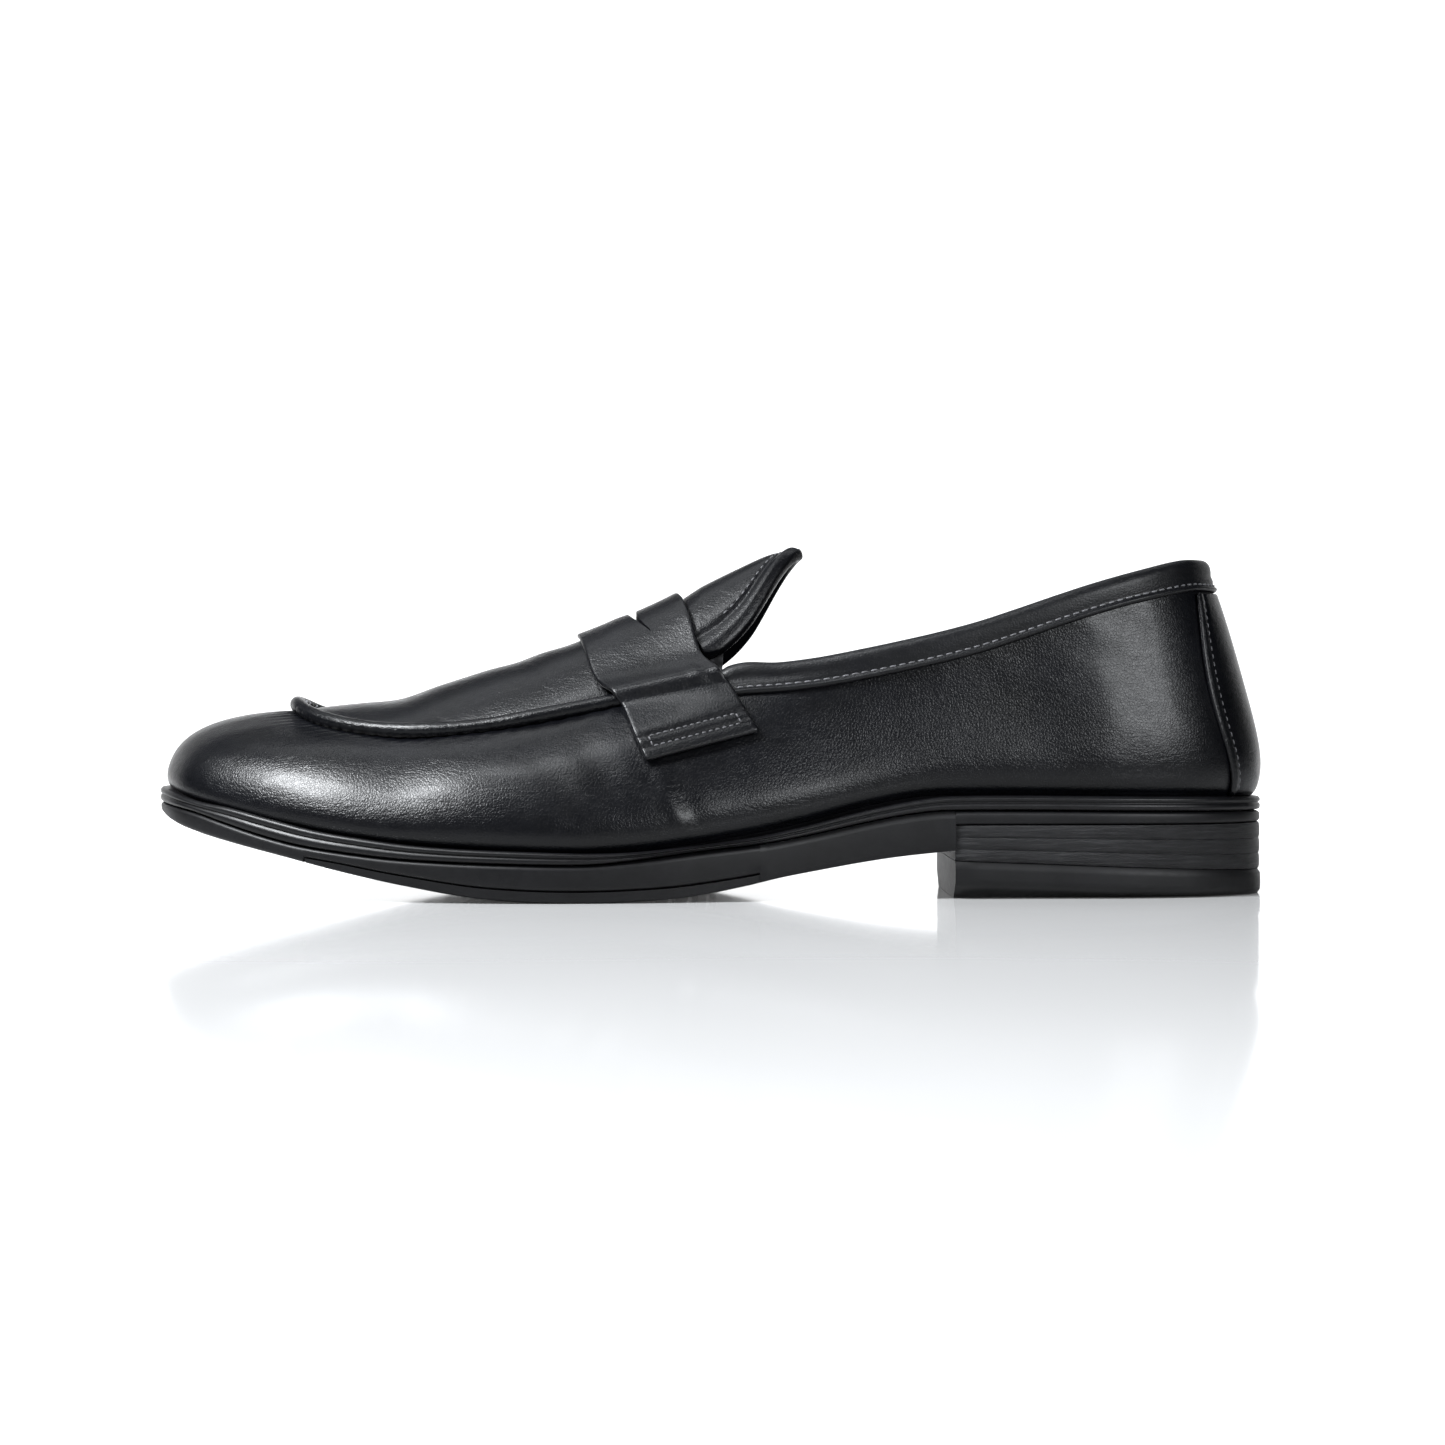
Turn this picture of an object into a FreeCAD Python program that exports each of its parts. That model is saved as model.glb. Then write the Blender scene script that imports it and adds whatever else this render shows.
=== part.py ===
import FreeCAD, Part
import bisect
import math
import os

Vector = FreeCAD.Vector
doc = FreeCAD.newDocument("penny_loafer")

# ---------------------------------------------------------------- driving sizes, in mm and degrees

SIZES = {
    "shoe_length": 300.0,
    "blank_width": 150.0,
    "welt_ledge": 2.9,
    "welt_width": 10.0,
    "upper_leather": 1.6,
    "lining_leather": 0.9,
    "stiffener": 1.0,
    "layer_gap": 0.12,
    "sheet_gap": 0.25,
    "board_thick": 2.4,
    "sock_thick": 1.2,
    "heel_pad_thick": 3.0,
    "tread_thick": 3.0,
    "tread_groove_depth": 1.2,
    "tread_groove_width": 1.8,
    "tread_groove_pitch": 5.0,
    "tread_groove_count": 9,
    "breast_x": 64.6,
    "heel_top_z": 19.2,
    "nail_radius": 1.1,
    "nail_top_z": 22.4,
    "nail_length": 12.8,
    "hole_play": 0.06,
    "shank_length": 84.0,
    "shank_width": 15.0,
    "shank_thick": 2.0,
    "shank_x": 58.0,
    "rivet_radius": 1.6,
    "rivet_spread": 60.0,
    "lip_radius": 2.1,
    "piping_radius": 1.9,
    "strap_thick": 1.5,
    "strap_slot_gap": 2.2,
    "tongue_leather": 1.3,
    "tongue_foam": 1.6,
}

sheet = doc.addObject("Spreadsheet::Sheet", "sheet")
for row, (word, value) in enumerate(SIZES.items(), start=1):
    sheet.set("A%d" % row, word)
    sheet.set("B%d" % row, str(value))
    sheet.setAlias("B%d" % row, word)
doc.recompute()


def size(word):
    """Reads one driving size from the sheet."""
    return float(sheet.get(word))


SCALE = size("shoe_length") / 300.0
GAP = size("layer_gap")
SHEET_GAP = size("sheet_gap")
LEDGE = size("welt_ledge")
HALF_LENGTH = 150.0 * SCALE


# ---------------------------------------------------------------- smooth lines through named points

def smooth_line(points, period=None):
    """A smooth function through (place, value) points; with a period it closes on itself."""
    points = sorted(points)
    if period:
        first = [(place + period, value) for place, value in points[:3]]
        last = [(place - period, value) for place, value in points[-3:]]
        points = last + points + first
    places = [point[0] for point in points]
    values = [point[1] for point in points]
    slopes = []
    for i in range(len(points)):
        low = max(i - 1, 0)
        high = min(i + 1, len(points) - 1)
        slopes.append((values[high] - values[low]) / (places[high] - places[low]))

    def value_at(place):
        if period:
            place = (place + period / 2.0) % period - period / 2.0
        i = bisect.bisect_right(places, place) - 1
        i = min(max(i, 0), len(places) - 2)
        span = places[i + 1] - places[i]
        a = (place - places[i]) / span
        a = min(max(a, -0.4), 1.4)
        rest = 1.0 - a
        return (values[i] * rest * rest * (1 + 2 * a) + values[i + 1] * a * a * (3 - 2 * a)
                + span * a * rest * (slopes[i] * rest - slopes[i + 1] * a))

    return value_at


def scaled(points):
    return [(x * SCALE, value * SCALE) for x, value in points]


# Heights along the shoe: (x from the middle of the length, z above the floor).
WELT_TOP = smooth_line(scaled([
    (-150, 29.3), (-147, 28.5), (-136, 25.4), (-122, 22.0), (-108, 18.9), (-93, 16.4), (-78, 14.6), (-50, 12.9),
    (-31, 12.5), (-16, 13.5), (-2, 15.3), (13, 17.8), (25, 20.3), (42, 24.6), (55, 26.9), (66, 27.4),
    (110, 27.1), (150, 26.7)]))
SOLE_TOP = smooth_line(scaled([
    (-150, 24.9), (-136, 22.5), (-127, 20.0), (-116, 16.9), (-105, 14.4), (-89, 12.2), (-76, 11.0), (-54, 10.1),
    (-31, 9.8), (-19, 10.8), (-2, 13.0), (14, 14.8), (26, 16.9), (43, 20.5), (52, 22.1), (62, 23.1),
    (110, 22.9), (150, 22.5)]))
SOLE_BOTTOM = smooth_line(scaled([
    (-150, 22.6), (-143.6, 19.7), (-133.7, 16.9), (-121.6, 14.1), (-109, 11.3), (-97.7, 8.6), (-84, 5.6),
    (-75, 3.9), (-66, 2.3), (-58, 0.9), (-50, 0.0), (-30, 0.0), (-8, 0.0), (-1.6, 1.2), (8.6, 3.6), (18.8, 6.0),
    (29.2, 7.9), (39.7, 9.7), (50.2, 11.2), (64, 12.6)]))
LIP_HEIGHT = [
    (-113.5, 49.4), (-109, 47.0), (-102, 44.7), (-91.5, 42.9), (-78.4, 42.1), (-62.4, 42.9), (-46.7, 45.4),
    (-24.9, 49.7), (-8, 53.4), (7.3, 56.7)]
TOPLINE_HEIGHT = [
    (19.1, 57.8), (29.5, 59.2), (39.9, 61.2), (50.3, 63.4), (60.7, 65.8), (71.1, 68.6), (81.4, 72.0),
    (91.9, 75.6), (102.9, 79.1), (114.5, 82.3), (127, 85.3), (135.5, 85.9)]
UPPER_EDGE_Z = smooth_line(scaled(LIP_HEIGHT + TOPLINE_HEIGHT))
RIDGE_Z = smooth_line(scaled([
    (-120, 48.2), (-113, 49.2), (-105, 50.2), (-94.7, 51.2), (-83.8, 52.3), (-72.9, 56.0), (-62, 59.4), (-51, 62.6),
    (-40, 66.2), (-30, 69.9), (-20, 73.6), (-10, 78.2), (-2, 82.6), (8.9, 87.8), (17, 91.6), (24, 94.0),
    (32, 96.0)]))

# Plan shapes: (x, y), lateral side at negative y.
SOLE_LATERAL = [
    (-147, -7), (-140, -20), (-128, -31), (-112, -40), (-90, -47.5), (-65, -52), (-40, -53.5), (-15, -51),
    (10, -45.5), (35, -39.5), (60, -35.5), (85, -33.5), (110, -32), (130, -26.5), (144, -15.5)]
SOLE_MEDIAL = [
    (-147, 21), (-140, 30), (-128, 38.5), (-112, 45), (-90, 51), (-70, 53.4), (-50, 52.4), (-25, 47), (0, 38.5),
    (25, 32.5), (50, 30), (75, 30.5), (100, 31.5), (120, 29.5), (136, 23), (146, 12)]
EDGE_LATERAL = [
    (-111, -4), (-105, -12.5), (-97, -19), (-88, -24), (-76, -28), (-60, -30.5), (-45, -31.5), (-25, -31),
    (-8, -30), (7, -29.5), (20, -30), (40, -31), (60, -31), (80, -29.5), (100, -27.5), (115, -24),
    (127, -16.5), (133, -8.5)]
EDGE_MEDIAL = [
    (-111, 15), (-105, 22), (-97, 27), (-88, 30), (-76, 32), (-60, 32.5), (-45, 32), (-25, 30.5), (-8, 29),
    (7, 28), (20, 28), (40, 29), (60, 29.5), (80, 28.5), (100, 26.5), (115, 23), (127, 16), (133, 8)]


def way_round_sole(way):
    """x of the sole edge at a way round it: 0 is the toe tip, -1 and 1 are the back of the heel."""
    return -HALF_LENGTH * math.cos(math.pi * way)


def way_round_edge(way):
    """x of the upper's free edge (lip line and topline) at the same way."""
    across = math.cos(math.pi * way)
    return -across * SCALE * (124.5 - 11.0 * math.tanh(2 * across) / math.tanh(2.0))


def way_of(x, line):
    low, high = 0.0, 1.0
    for _ in range(50):
        middle = (low + high) / 2.0
        if line(middle) < x:
            low = middle
        else:
            high = middle
    return low


def plan_line(line, tip_y, lateral, medial):
    points = [(0.0, tip_y * SCALE), (1.0, 0.0)]
    for x, y in lateral:
        points.append((-way_of(x * SCALE, line), y * SCALE))
    for x, y in medial:
        points.append((way_of(x * SCALE, line), y * SCALE))
    return smooth_line(points, period=2.0)


SOLE_Y = plan_line(way_round_sole, 8.0, SOLE_LATERAL, SOLE_MEDIAL)
EDGE_Y = plan_line(way_round_edge, 5.5, EDGE_LATERAL, EDGE_MEDIAL)


def sole_point(way, inset):
    """A plan point of the sole outline, moved inwards by inset."""
    step = 0.002
    ahead = Vector(way_round_sole(way + step), SOLE_Y(way + step), 0)
    behind = Vector(way_round_sole(way - step), SOLE_Y(way - step), 0)
    along = (ahead - behind).normalize()
    inwards = Vector(along.y, -along.x, 0)
    return Vector(way_round_sole(way), SOLE_Y(way), 0) + inwards * inset


# ---------------------------------------------------------------- the last: side walls and top

STEEP = smooth_line([(0.0, 3.2), (0.25, 2.9), (0.45, 2.3), (0.7, 2.0), (1.0, 1.8)])
SHOULDER = smooth_line([(0.0, 0.5), (0.2, 0.62), (0.4, 0.9), (0.6, 1.0), (1.0, 1.0)])
BULGE = smooth_line(scaled([(0.0, 1.0), (0.2, 1.6), (0.4, 2.6), (0.6, 3.2), (0.8, 2.8), (1.0, 2.4)]))


def wall_point(way, up):
    """A point of the upper's outside: up is 0 at the welt and 1 at the lip line or topline."""
    side = abs((way + 1.0) % 2.0 - 1.0)
    foot = sole_point(way, LEDGE)
    foot.z = WELT_TOP(foot.x)
    edge_x = way_round_edge(way)
    edge = Vector(edge_x, EDGE_Y(way), UPPER_EDGE_Z(edge_x))
    shoulder = min(SHOULDER(side), 1.0)
    roundness = 2.0 * (1.0 - shoulder)
    rise = up * (1.0 - roundness) + math.sin(math.pi / 2.0 * min(up, 1.0)) * roundness
    rise = min(rise, 1.0)
    closed = 1.0 - (1.0 - rise ** STEEP(side)) ** shoulder
    swell = (rise / 0.17) * math.exp(1.0 - rise / 0.17) * BULGE(side) / SCALE
    inwards = Vector(edge.x - foot.x, edge.y - foot.y, 0)
    outwards = sole_point(way, 0.0) - sole_point(way, 1.0)
    point = foot + inwards * closed + outwards * swell
    point.z = foot.z + (edge.z - foot.z) * rise
    return point


def wall_skin(way, up, offset):
    """wall_point moved out of the shoe by offset."""
    step = 0.004
    low = max(up - step, 0.0)
    high = min(up + step, 1.0)
    rising = wall_point(way, high) - wall_point(way, low)
    running = wall_point(way + step, up) - wall_point(way - step, up)
    outwards = rising.cross(running).normalize()
    return wall_point(way, up) + outwards * offset


def half_width(x):
    """Lip line half width and centre y at x, for the apron and the tongue."""
    way = way_of(x, way_round_edge)
    lateral = EDGE_Y(-way)
    medial = EDGE_Y(way)
    return (medial - lateral) / 2.0, (medial + lateral) / 2.0


LIP_INSET = 2.0 * size("lip_radius") - 0.3


def top_height(x, y):
    """Height of the apron and tongue surface."""
    x_known = max(x, -106.0 * SCALE)
    wide, centre = half_width(x_known)
    wide = wide - LIP_INSET
    drop = RIDGE_Z(x_known) - UPPER_EDGE_Z(x_known) - 2.6 * SCALE
    off = (y - centre) / wide
    bend = drop * off * off
    return RIDGE_Z(x) - bend


def top_skin(x, y, offset):
    step = 0.2
    slope_x = (top_height(x + step, y) - top_height(x - step, y)) / (2 * step)
    slope_y = (top_height(x, y + step) - top_height(x, y - step)) / (2 * step)
    normal = Vector(-slope_x, -slope_y, 1.0).normalize()
    return Vector(x, y, top_height(x, y)) + normal * offset


# ---------------------------------------------------------------- solids from grids of points

def skin_surface(grid):
    surface = Part.BSplineSurface()
    surface.interpolate(grid)
    return surface


def thick_sheet(outer_grid, inner_grid):
    """A closed solid between two grids of points."""
    outer = skin_surface(outer_grid)
    inner = skin_surface(inner_grid)
    u0, u1, v0, v1 = outer.bounds()
    a0, a1, b0, b1 = inner.bounds()
    pairs = [(outer.uIso(u0), inner.uIso(a0)), (outer.uIso(u1), inner.uIso(a1)),
             (outer.vIso(v0), inner.vIso(b0)), (outer.vIso(v1), inner.vIso(b1))]
    faces = [outer.toShape(), inner.toShape()]
    for one, other in pairs:
        faces.append(Part.makeRuledSurface(one.toShape(), other.toShape(), 1))
    shell = Part.makeShell(faces)
    shell.sewShape()
    solid = Part.makeSolid(Part.Shell(shell.Faces))
    if solid.Volume < 0:
        solid.reverse()
    fixed = Part.Solid(solid)
    if not fixed.isValid():
        fixed.fix(1e-4, 1e-4, 1e-3)
    return fixed


def steps(start, end, count):
    return [start + (end - start) * i / (count - 1.0) for i in range(count)]


def stations(way_from, way_to, count):
    """Places round the upper, closer together at the toe, at the heel and at both ends."""
    ways = [way - 0.06 * math.sin(2 * math.pi * way) for way in steps(way_from, way_to, count)]
    stretch = (way_to - way_from) / (ways[-1] - ways[0])
    ways = [way_from + (way - ways[0]) * stretch for way in ways]
    near_start = ways[0] + 0.25 * (ways[1] - ways[0])
    near_stop = ways[-1] - 0.25 * (ways[-1] - ways[-2])
    return [ways[0], near_start] + ways[1:-1] + [near_stop, ways[-1]]


def wall_sheet(way_from, way_to, low, high, outside, inside, count=45, rows=9):
    """A piece of the side wall; low, high, outside and inside are functions of the way round."""
    outer, inner = [], []
    for way in stations(way_from, way_to, count):
        ups = steps(low(way), high(way), rows)
        outer.append([wall_skin(way, up, outside(way)) for up in ups])
        inner.append([wall_skin(way, up, inside(way)) for up in ups])
    return thick_sheet(outer, inner)


def fixed_at(value):
    return lambda way: value


def top_sheet(outline, outside, inside, x_from, x_to):
    """A piece of the apron or tongue, cut to a closed plan outline."""
    outer, inner = [], []
    for x in steps(x_from, x_to, 25):
        outer.append([top_skin(x, y, outside) for y in steps(-34 * SCALE, 36 * SCALE, 17)])
        inner.append([top_skin(x, y, inside) for y in steps(-34 * SCALE, 36 * SCALE, 17)])
    blank = thick_sheet(outer, inner)
    curve = Part.BSplineCurve()
    curve.interpolate(Points=outline, PeriodicFlag=True)
    face = Part.Face(Part.Wire([curve.toShape()]))
    cutter = face.extrude(Vector(0, 0, 160 * SCALE))
    return blank.common(cutter)


def cord_along(points, radius):
    """A round cord along a smooth open line."""
    curve = Part.BSplineCurve()
    curve.interpolate(points)
    spine = Part.Wire([curve.toShape()])
    start = curve.value(curve.FirstParameter)
    heading = curve.tangent(curve.FirstParameter)[0]
    ring = Part.Wire([Part.makeCircle(radius, start, heading)])
    return spine.makePipeShell([ring], True, True)


def add_solid(label, shape):
    """Stores a made shape as a named piece."""
    solids = shape.Solids
    piece = doc.addObject("Part::Feature", label)
    piece.Label = label
    if len(solids) == 1:
        piece.Shape = solids[0]
    else:
        piece.Shape = Part.makeCompound(solids)
    PIECES.append(piece)
    return piece


PIECES = []


# ---------------------------------------------------------------- flat layers as bodies

def base_plane(body, role):
    for feature in body.Origin.OriginFeatures:
        if feature.Role == role:
            return feature
    raise ValueError("no plane " + role)


def sketch_on(body, role, name):
    sketch = body.newObject("Sketcher::SketchObject", name)
    sketch.AttachmentSupport = [(base_plane(body, role), "")]
    sketch.MapMode = "FlatFace"
    return sketch


def spline_through(points):
    curve = Part.BSplineCurve()
    curve.interpolate(points)
    return curve


def profile_geometry(top, bottom, x_from, x_to, corners=()):
    """Closed side profile: a top line, a bottom line, and straight ends through any corners."""
    count = max(int((x_to - x_from) / (9.0 * SCALE)), 4)
    upper = [Vector(x, top(x), 0) for x in steps(x_from, x_to, count)]
    x_low = corners[-1][0] if corners else x_to
    lower = [Vector(x, bottom(x), 0) for x in steps(x_from, x_low, count)]
    turns = [upper[-1]] + [Vector(x, z, 0) for x, z in corners] + [lower[-1]]
    shapes = [spline_through(upper), spline_through(lower), Part.LineSegment(lower[0], upper[0])]
    for one, other in zip(turns, turns[1:]):
        if (one - other).Length > 1e-6:
            shapes.append(Part.LineSegment(one, other))
    return shapes


def outline_curve(inset, x_from=None):
    """Sole outline as closed geometry, or cut straight across at x_from."""
    if x_from is None:
        points = [sole_point(way, inset) for way in steps(-1.0, 1.0, 61)[:-1]]
        curve = Part.BSplineCurve()
        curve.interpolate(Points=points, PeriodicFlag=True)
        return [curve]
    start = way_of(x_from, way_round_sole)
    ways = steps(start, 2.0 - start, 27)
    points = [sole_point(way, inset) for way in ways]
    points[0].x = x_from
    points[-1].x = x_from
    return [spline_through(points), Part.LineSegment(points[-1], points[0])]


def frame_rectangle():
    wide = size("blank_width")
    long = HALF_LENGTH + 20
    corners = [Vector(-long, -wide, 0), Vector(long, -wide, 0), Vector(long, wide, 0), Vector(-long, wide, 0)]
    return [Part.LineSegment(corners[i], corners[(i + 1) % 4]) for i in range(4)]


def pocket_through(body, name, shapes):
    sketch = sketch_on(body, "XY_Plane", name + "_sketch")
    sketch.addGeometry(shapes, False)
    pocket = body.newObject("PartDesign::Pocket", name)
    pocket.Profile = sketch
    pocket.Type = 1
    pocket.Midplane = True
    doc.recompute()
    body.Tip = pocket
    return pocket


def slab_body(label, profile, inset, x_from=None, ring=None, holes=()):
    """A layer: side profile padded across the shoe, trimmed to the outline."""
    body = doc.addObject("PartDesign::Body", label)
    body.Label = label
    sketch = sketch_on(body, "XZ_Plane", label + "_profile")
    sketch.addGeometry(profile, False)
    pad = body.newObject("PartDesign::Pad", label + "_pad")
    pad.Profile = sketch
    pad.Midplane = True
    pad.setExpression("Length", "sheet.blank_width")
    doc.recompute()
    body.Tip = pad
    pocket_through(body, label + "_trim", frame_rectangle() + outline_curve(inset, x_from))
    if ring is not None:
        pocket_through(body, label + "_inside", outline_curve(ring))
    if holes:
        rings = [Part.Circle(Vector(x, y, 0), Vector(0, 0, 1), r) for x, y, r in holes]
        pocket_through(body, label + "_holes", rings)
    PIECES.append(body)
    return body


NAIL_PLACES = [(84, -20), (84, 18), (104, -20), (104, 18), (124, -14), (124, 13), (138, 0)]
NAIL_PLACES = [(x * SCALE, y * SCALE) for x, y in NAIL_PLACES]


def nail_holes():
    radius = size("nail_radius") + size("hole_play")
    return [(x, y, radius) for x, y in NAIL_PLACES]


def heel_line(share):
    """A straight layer line in the heel: share 0 is the sole, 1 the top piece's upper face."""
    front = (size("heel_top_z") - 9.1 * SCALE * share)
    rear = (size("heel_top_z") - 12.5 * SCALE * share)
    breast = size("breast_x")
    return lambda x: front + (rear - front) * (x - breast) / (HALF_LENGTH - breast)


TOP_PIECE_THICK = 6.7 * SCALE


def heel_floor(x):
    return heel_line(1.0)(x) - TOP_PIECE_THICK


def straight_profile(top, bottom, x_from, x_to):
    corners = [Vector(x_from, bottom(x_from), 0), Vector(x_to, bottom(x_to), 0),
               Vector(x_to, top(x_to), 0), Vector(x_from, top(x_from), 0)]
    return [Part.LineSegment(corners[i], corners[(i + 1) % 4]) for i in range(4)]


# ---------------------------------------------------------------- bottom unit

def build_outsole():
    breast = size("breast_x")
    end = HALF_LENGTH + 5
    tread = size("tread_thick")
    share = smooth_line(scaled([(-112, 0.0), (-104, 0.4), (-92, 0.7), (-50, 1.0), (-5, 1.0), (13, 0.75)]))

    def bottom(x):
        if TREAD_FROM - 1 < x < TREAD_TO:
            return SOLE_BOTTOM(x) + tread * min(share(x) / SCALE, 1.0)
        return SOLE_BOTTOM(x)

    def tread_top(x):
        return SOLE_BOTTOM(x) + tread * min(share(x) / SCALE, 1.0)

    front_x = -HALF_LENGTH - 2
    upper = [Vector(x, SOLE_TOP(x), 0) for x in steps(front_x, end, 36)]
    fore = [Vector(x, SOLE_BOTTOM(x), 0) for x in steps(front_x, TREAD_FROM, 8)]
    middle = [Vector(x, tread_top(x), 0) for x in steps(TREAD_FROM, TREAD_TO, 16)]
    rear = [Vector(x, SOLE_BOTTOM(x), 0) for x in steps(TREAD_TO, breast, 7)]
    seat = [Vector(breast, size("heel_top_z"), 0), Vector(end, size("heel_top_z"), 0)]
    shapes = [spline_through(upper), spline_through(fore), spline_through(middle), spline_through(rear)]
    if (fore[-1] - middle[0]).Length > 1e-6:
        shapes.append(Part.LineSegment(fore[-1], middle[0]))
    shapes.append(Part.LineSegment(middle[-1], rear[0]))
    shapes.append(Part.LineSegment(rear[-1], seat[0]))
    shapes.append(Part.LineSegment(seat[0], seat[1]))
    shapes.append(Part.LineSegment(seat[1], upper[-1]))
    shapes.append(Part.LineSegment(fore[0], upper[0]))
    slab_body("outsole", shapes, 0.0, holes=nail_holes())
    return tread_top


TREAD_FROM = -104.0 * SCALE
TREAD_TO = 13.7 * SCALE


def build_tread_plate(tread_top):
    """The thicker wearing plate under the ball, with cross grooves in its flat part."""
    def top(x):
        return tread_top(x) - 0.02

    upper = [Vector(x, top(x), 0) for x in steps(TREAD_FROM, TREAD_TO, 16)]
    fore = [Vector(x, SOLE_BOTTOM(x), 0) for x in steps(TREAD_FROM, -50 * SCALE, 9)]
    rear = [Vector(x, SOLE_BOTTOM(x), 0) for x in steps(-8 * SCALE, TREAD_TO, 5)]
    shapes = [spline_through(upper), spline_through(fore), Part.LineSegment(fore[-1], rear[0]),
              spline_through(rear), Part.LineSegment(fore[0], upper[0]), Part.LineSegment(rear[-1], upper[-1])]
    body = slab_body("tread_plate", shapes, 0.4)
    sketch = sketch_on(body, "XY_Plane", "groove_sketch")
    wide = size("tread_groove_width") / 2.0
    start = -49.0 * SCALE
    long = 35 * SCALE
    corners = [Vector(start - wide, -long, 0), Vector(start + wide, -long, 0),
               Vector(start + wide, long, 0), Vector(start - wide, long, 0)]
    sketch.addGeometry([Part.LineSegment(corners[i], corners[(i + 1) % 4]) for i in range(4)], False)
    groove = body.newObject("PartDesign::Pocket", "tread_groove")
    groove.Profile = sketch
    groove.Reversed = True
    groove.setExpression("Length", "sheet.tread_groove_depth")
    doc.recompute()
    body.Tip = groove
    pattern = body.newObject("PartDesign::LinearPattern", "tread_grooves")
    pattern.Originals = [groove]
    pattern.Direction = (sketch, ["H_Axis"])
    pattern.setExpression("Length", "sheet.tread_groove_pitch * (sheet.tread_groove_count - 1)")
    pattern.setExpression("Occurrences", "sheet.tread_groove_count")
    doc.recompute()
    body.Tip = pattern


def build_welt():
    end = HALF_LENGTH + 5
    top = [Vector(x, WELT_TOP(x), 0) for x in steps(-HALF_LENGTH - 2, end, 36)]
    low = [Vector(x, SOLE_TOP(x) + 0.02, 0) for x in steps(-HALF_LENGTH - 2, end, 36)]
    shapes = [spline_through(top), spline_through(low), Part.LineSegment(top[0], low[0]),
              Part.LineSegment(top[-1], low[-1])]
    slab_body("welt", shapes, 0.0, ring=size("welt_width"))


def build_heel():
    breast = size("breast_x")
    end = HALF_LENGTH + 5
    names = ["heel_lift_upper", "heel_lift_middle", "heel_lift_lower"]
    for i, name in enumerate(names):
        top = heel_line(i / 3.0)
        bottom = heel_line((i + 1) / 3.0)
        profile = straight_profile(lambda x: top(x) - 0.02, bottom, breast - 5, end)
        slab_body(name, profile, 0.2, x_from=breast, holes=nail_holes())
    top = heel_line(1.0)
    profile = straight_profile(lambda x: top(x) - 0.02, heel_floor, breast - 5, end)
    slab_body("heel_top_piece", profile, 0.0, x_from=breast)


def build_nails():
    """Seven headless nails through the seat and the lifts."""
    nails = []
    for i, (x, y) in enumerate(NAIL_PLACES):
        nail = doc.addObject("Part::Cylinder", "nail_%d" % (i + 1))
        nail.setExpression("Radius", "sheet.nail_radius")
        nail.setExpression("Height", "sheet.nail_length")
        nail.Placement.Base = Vector(x, y, size("nail_top_z") - size("nail_length"))
        nails.append(nail)
    group = doc.addObject("Part::Compound", "heel_nails")
    group.Links = nails
    group.Label = "heel_nails"
    PIECES.append(group)


SHANK_FROM = size("shank_x") - size("shank_length") / 2.0
SHANK_TO = size("shank_x") + size("shank_length") / 2.0
RIVET_PLACES = [(size("shank_x") - size("rivet_spread") / 2.0, 0.0), (size("shank_x"), 0.0),
                (size("shank_x") + size("rivet_spread") / 2.0, 0.0)]


def build_filler():
    """Cork inside the welt, low enough in the waist for the shank to lie on it."""
    recess = smooth_line([(SHANK_FROM - 14, 0.0), (SHANK_FROM - 4, 2.3), (SHANK_FROM + 20, 2.3),
                          (SHANK_TO + 4, 2.3), (SHANK_TO + 14, 0.0)])

    def top(x):
        if x < SHANK_FROM - 14 or x > SHANK_TO + 14:
            return WELT_TOP(x) - 0.05
        return WELT_TOP(x) - 0.05 - min(max(recess(x), 0.0), 2.3) * SCALE

    end = HALF_LENGTH
    upper = [Vector(x, top(x), 0) for x in steps(-HALF_LENGTH, end, 42)]
    lower = [Vector(x, SOLE_TOP(x) + 0.04, 0) for x in steps(-HALF_LENGTH, end, 36)]
    shapes = [spline_through(upper), spline_through(lower), Part.LineSegment(upper[0], lower[0]),
              Part.LineSegment(upper[-1], lower[-1])]
    slab_body("cork_filler", shapes, size("welt_width") + 0.15)


def curved_strip(label, drop_top, drop_bottom, x_from, x_to, inset, holes=(), count=None):
    """A layer that follows the welt's top line at given distances below it."""
    count = count or max(int((x_to - x_from) / 8.0), 6)
    upper = [Vector(x, WELT_TOP(x) - drop_top, 0) for x in steps(x_from, x_to, count)]
    lower = [Vector(x, WELT_TOP(x) - drop_bottom, 0) for x in steps(x_from, x_to, count)]
    shapes = [spline_through(upper), spline_through(lower), Part.LineSegment(upper[0], lower[0]),
              Part.LineSegment(upper[-1], lower[-1])]
    return slab_body(label, shapes, inset, holes=holes)


def build_shank():
    body = doc.addObject("PartDesign::Body", "shank")
    body.Label = "shank"
    sketch = sketch_on(body, "XZ_Plane", "shank_profile")
    low = 0.12 + size("shank_thick")
    upper = [Vector(x, WELT_TOP(x) - 0.12, 0) for x in steps(SHANK_FROM, SHANK_TO, 11)]
    lower = [Vector(x, WELT_TOP(x) - low, 0) for x in steps(SHANK_FROM, SHANK_TO, 11)]
    sketch.addGeometry([spline_through(upper), spline_through(lower), Part.LineSegment(upper[0], lower[0]),
                        Part.LineSegment(upper[-1], lower[-1])], False)
    pad = body.newObject("PartDesign::Pad", "shank_pad")
    pad.Profile = sketch
    pad.Midplane = True
    pad.setExpression("Length", "sheet.shank_width")
    doc.recompute()
    body.Tip = pad
    radius = size("rivet_radius") + size("hole_play")
    rings = [Part.Circle(Vector(x, y, 0), Vector(0, 0, 1), radius) for x, y in RIVET_PLACES]
    pocket_through(body, "shank_holes", rings)
    PIECES.append(body)


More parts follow.
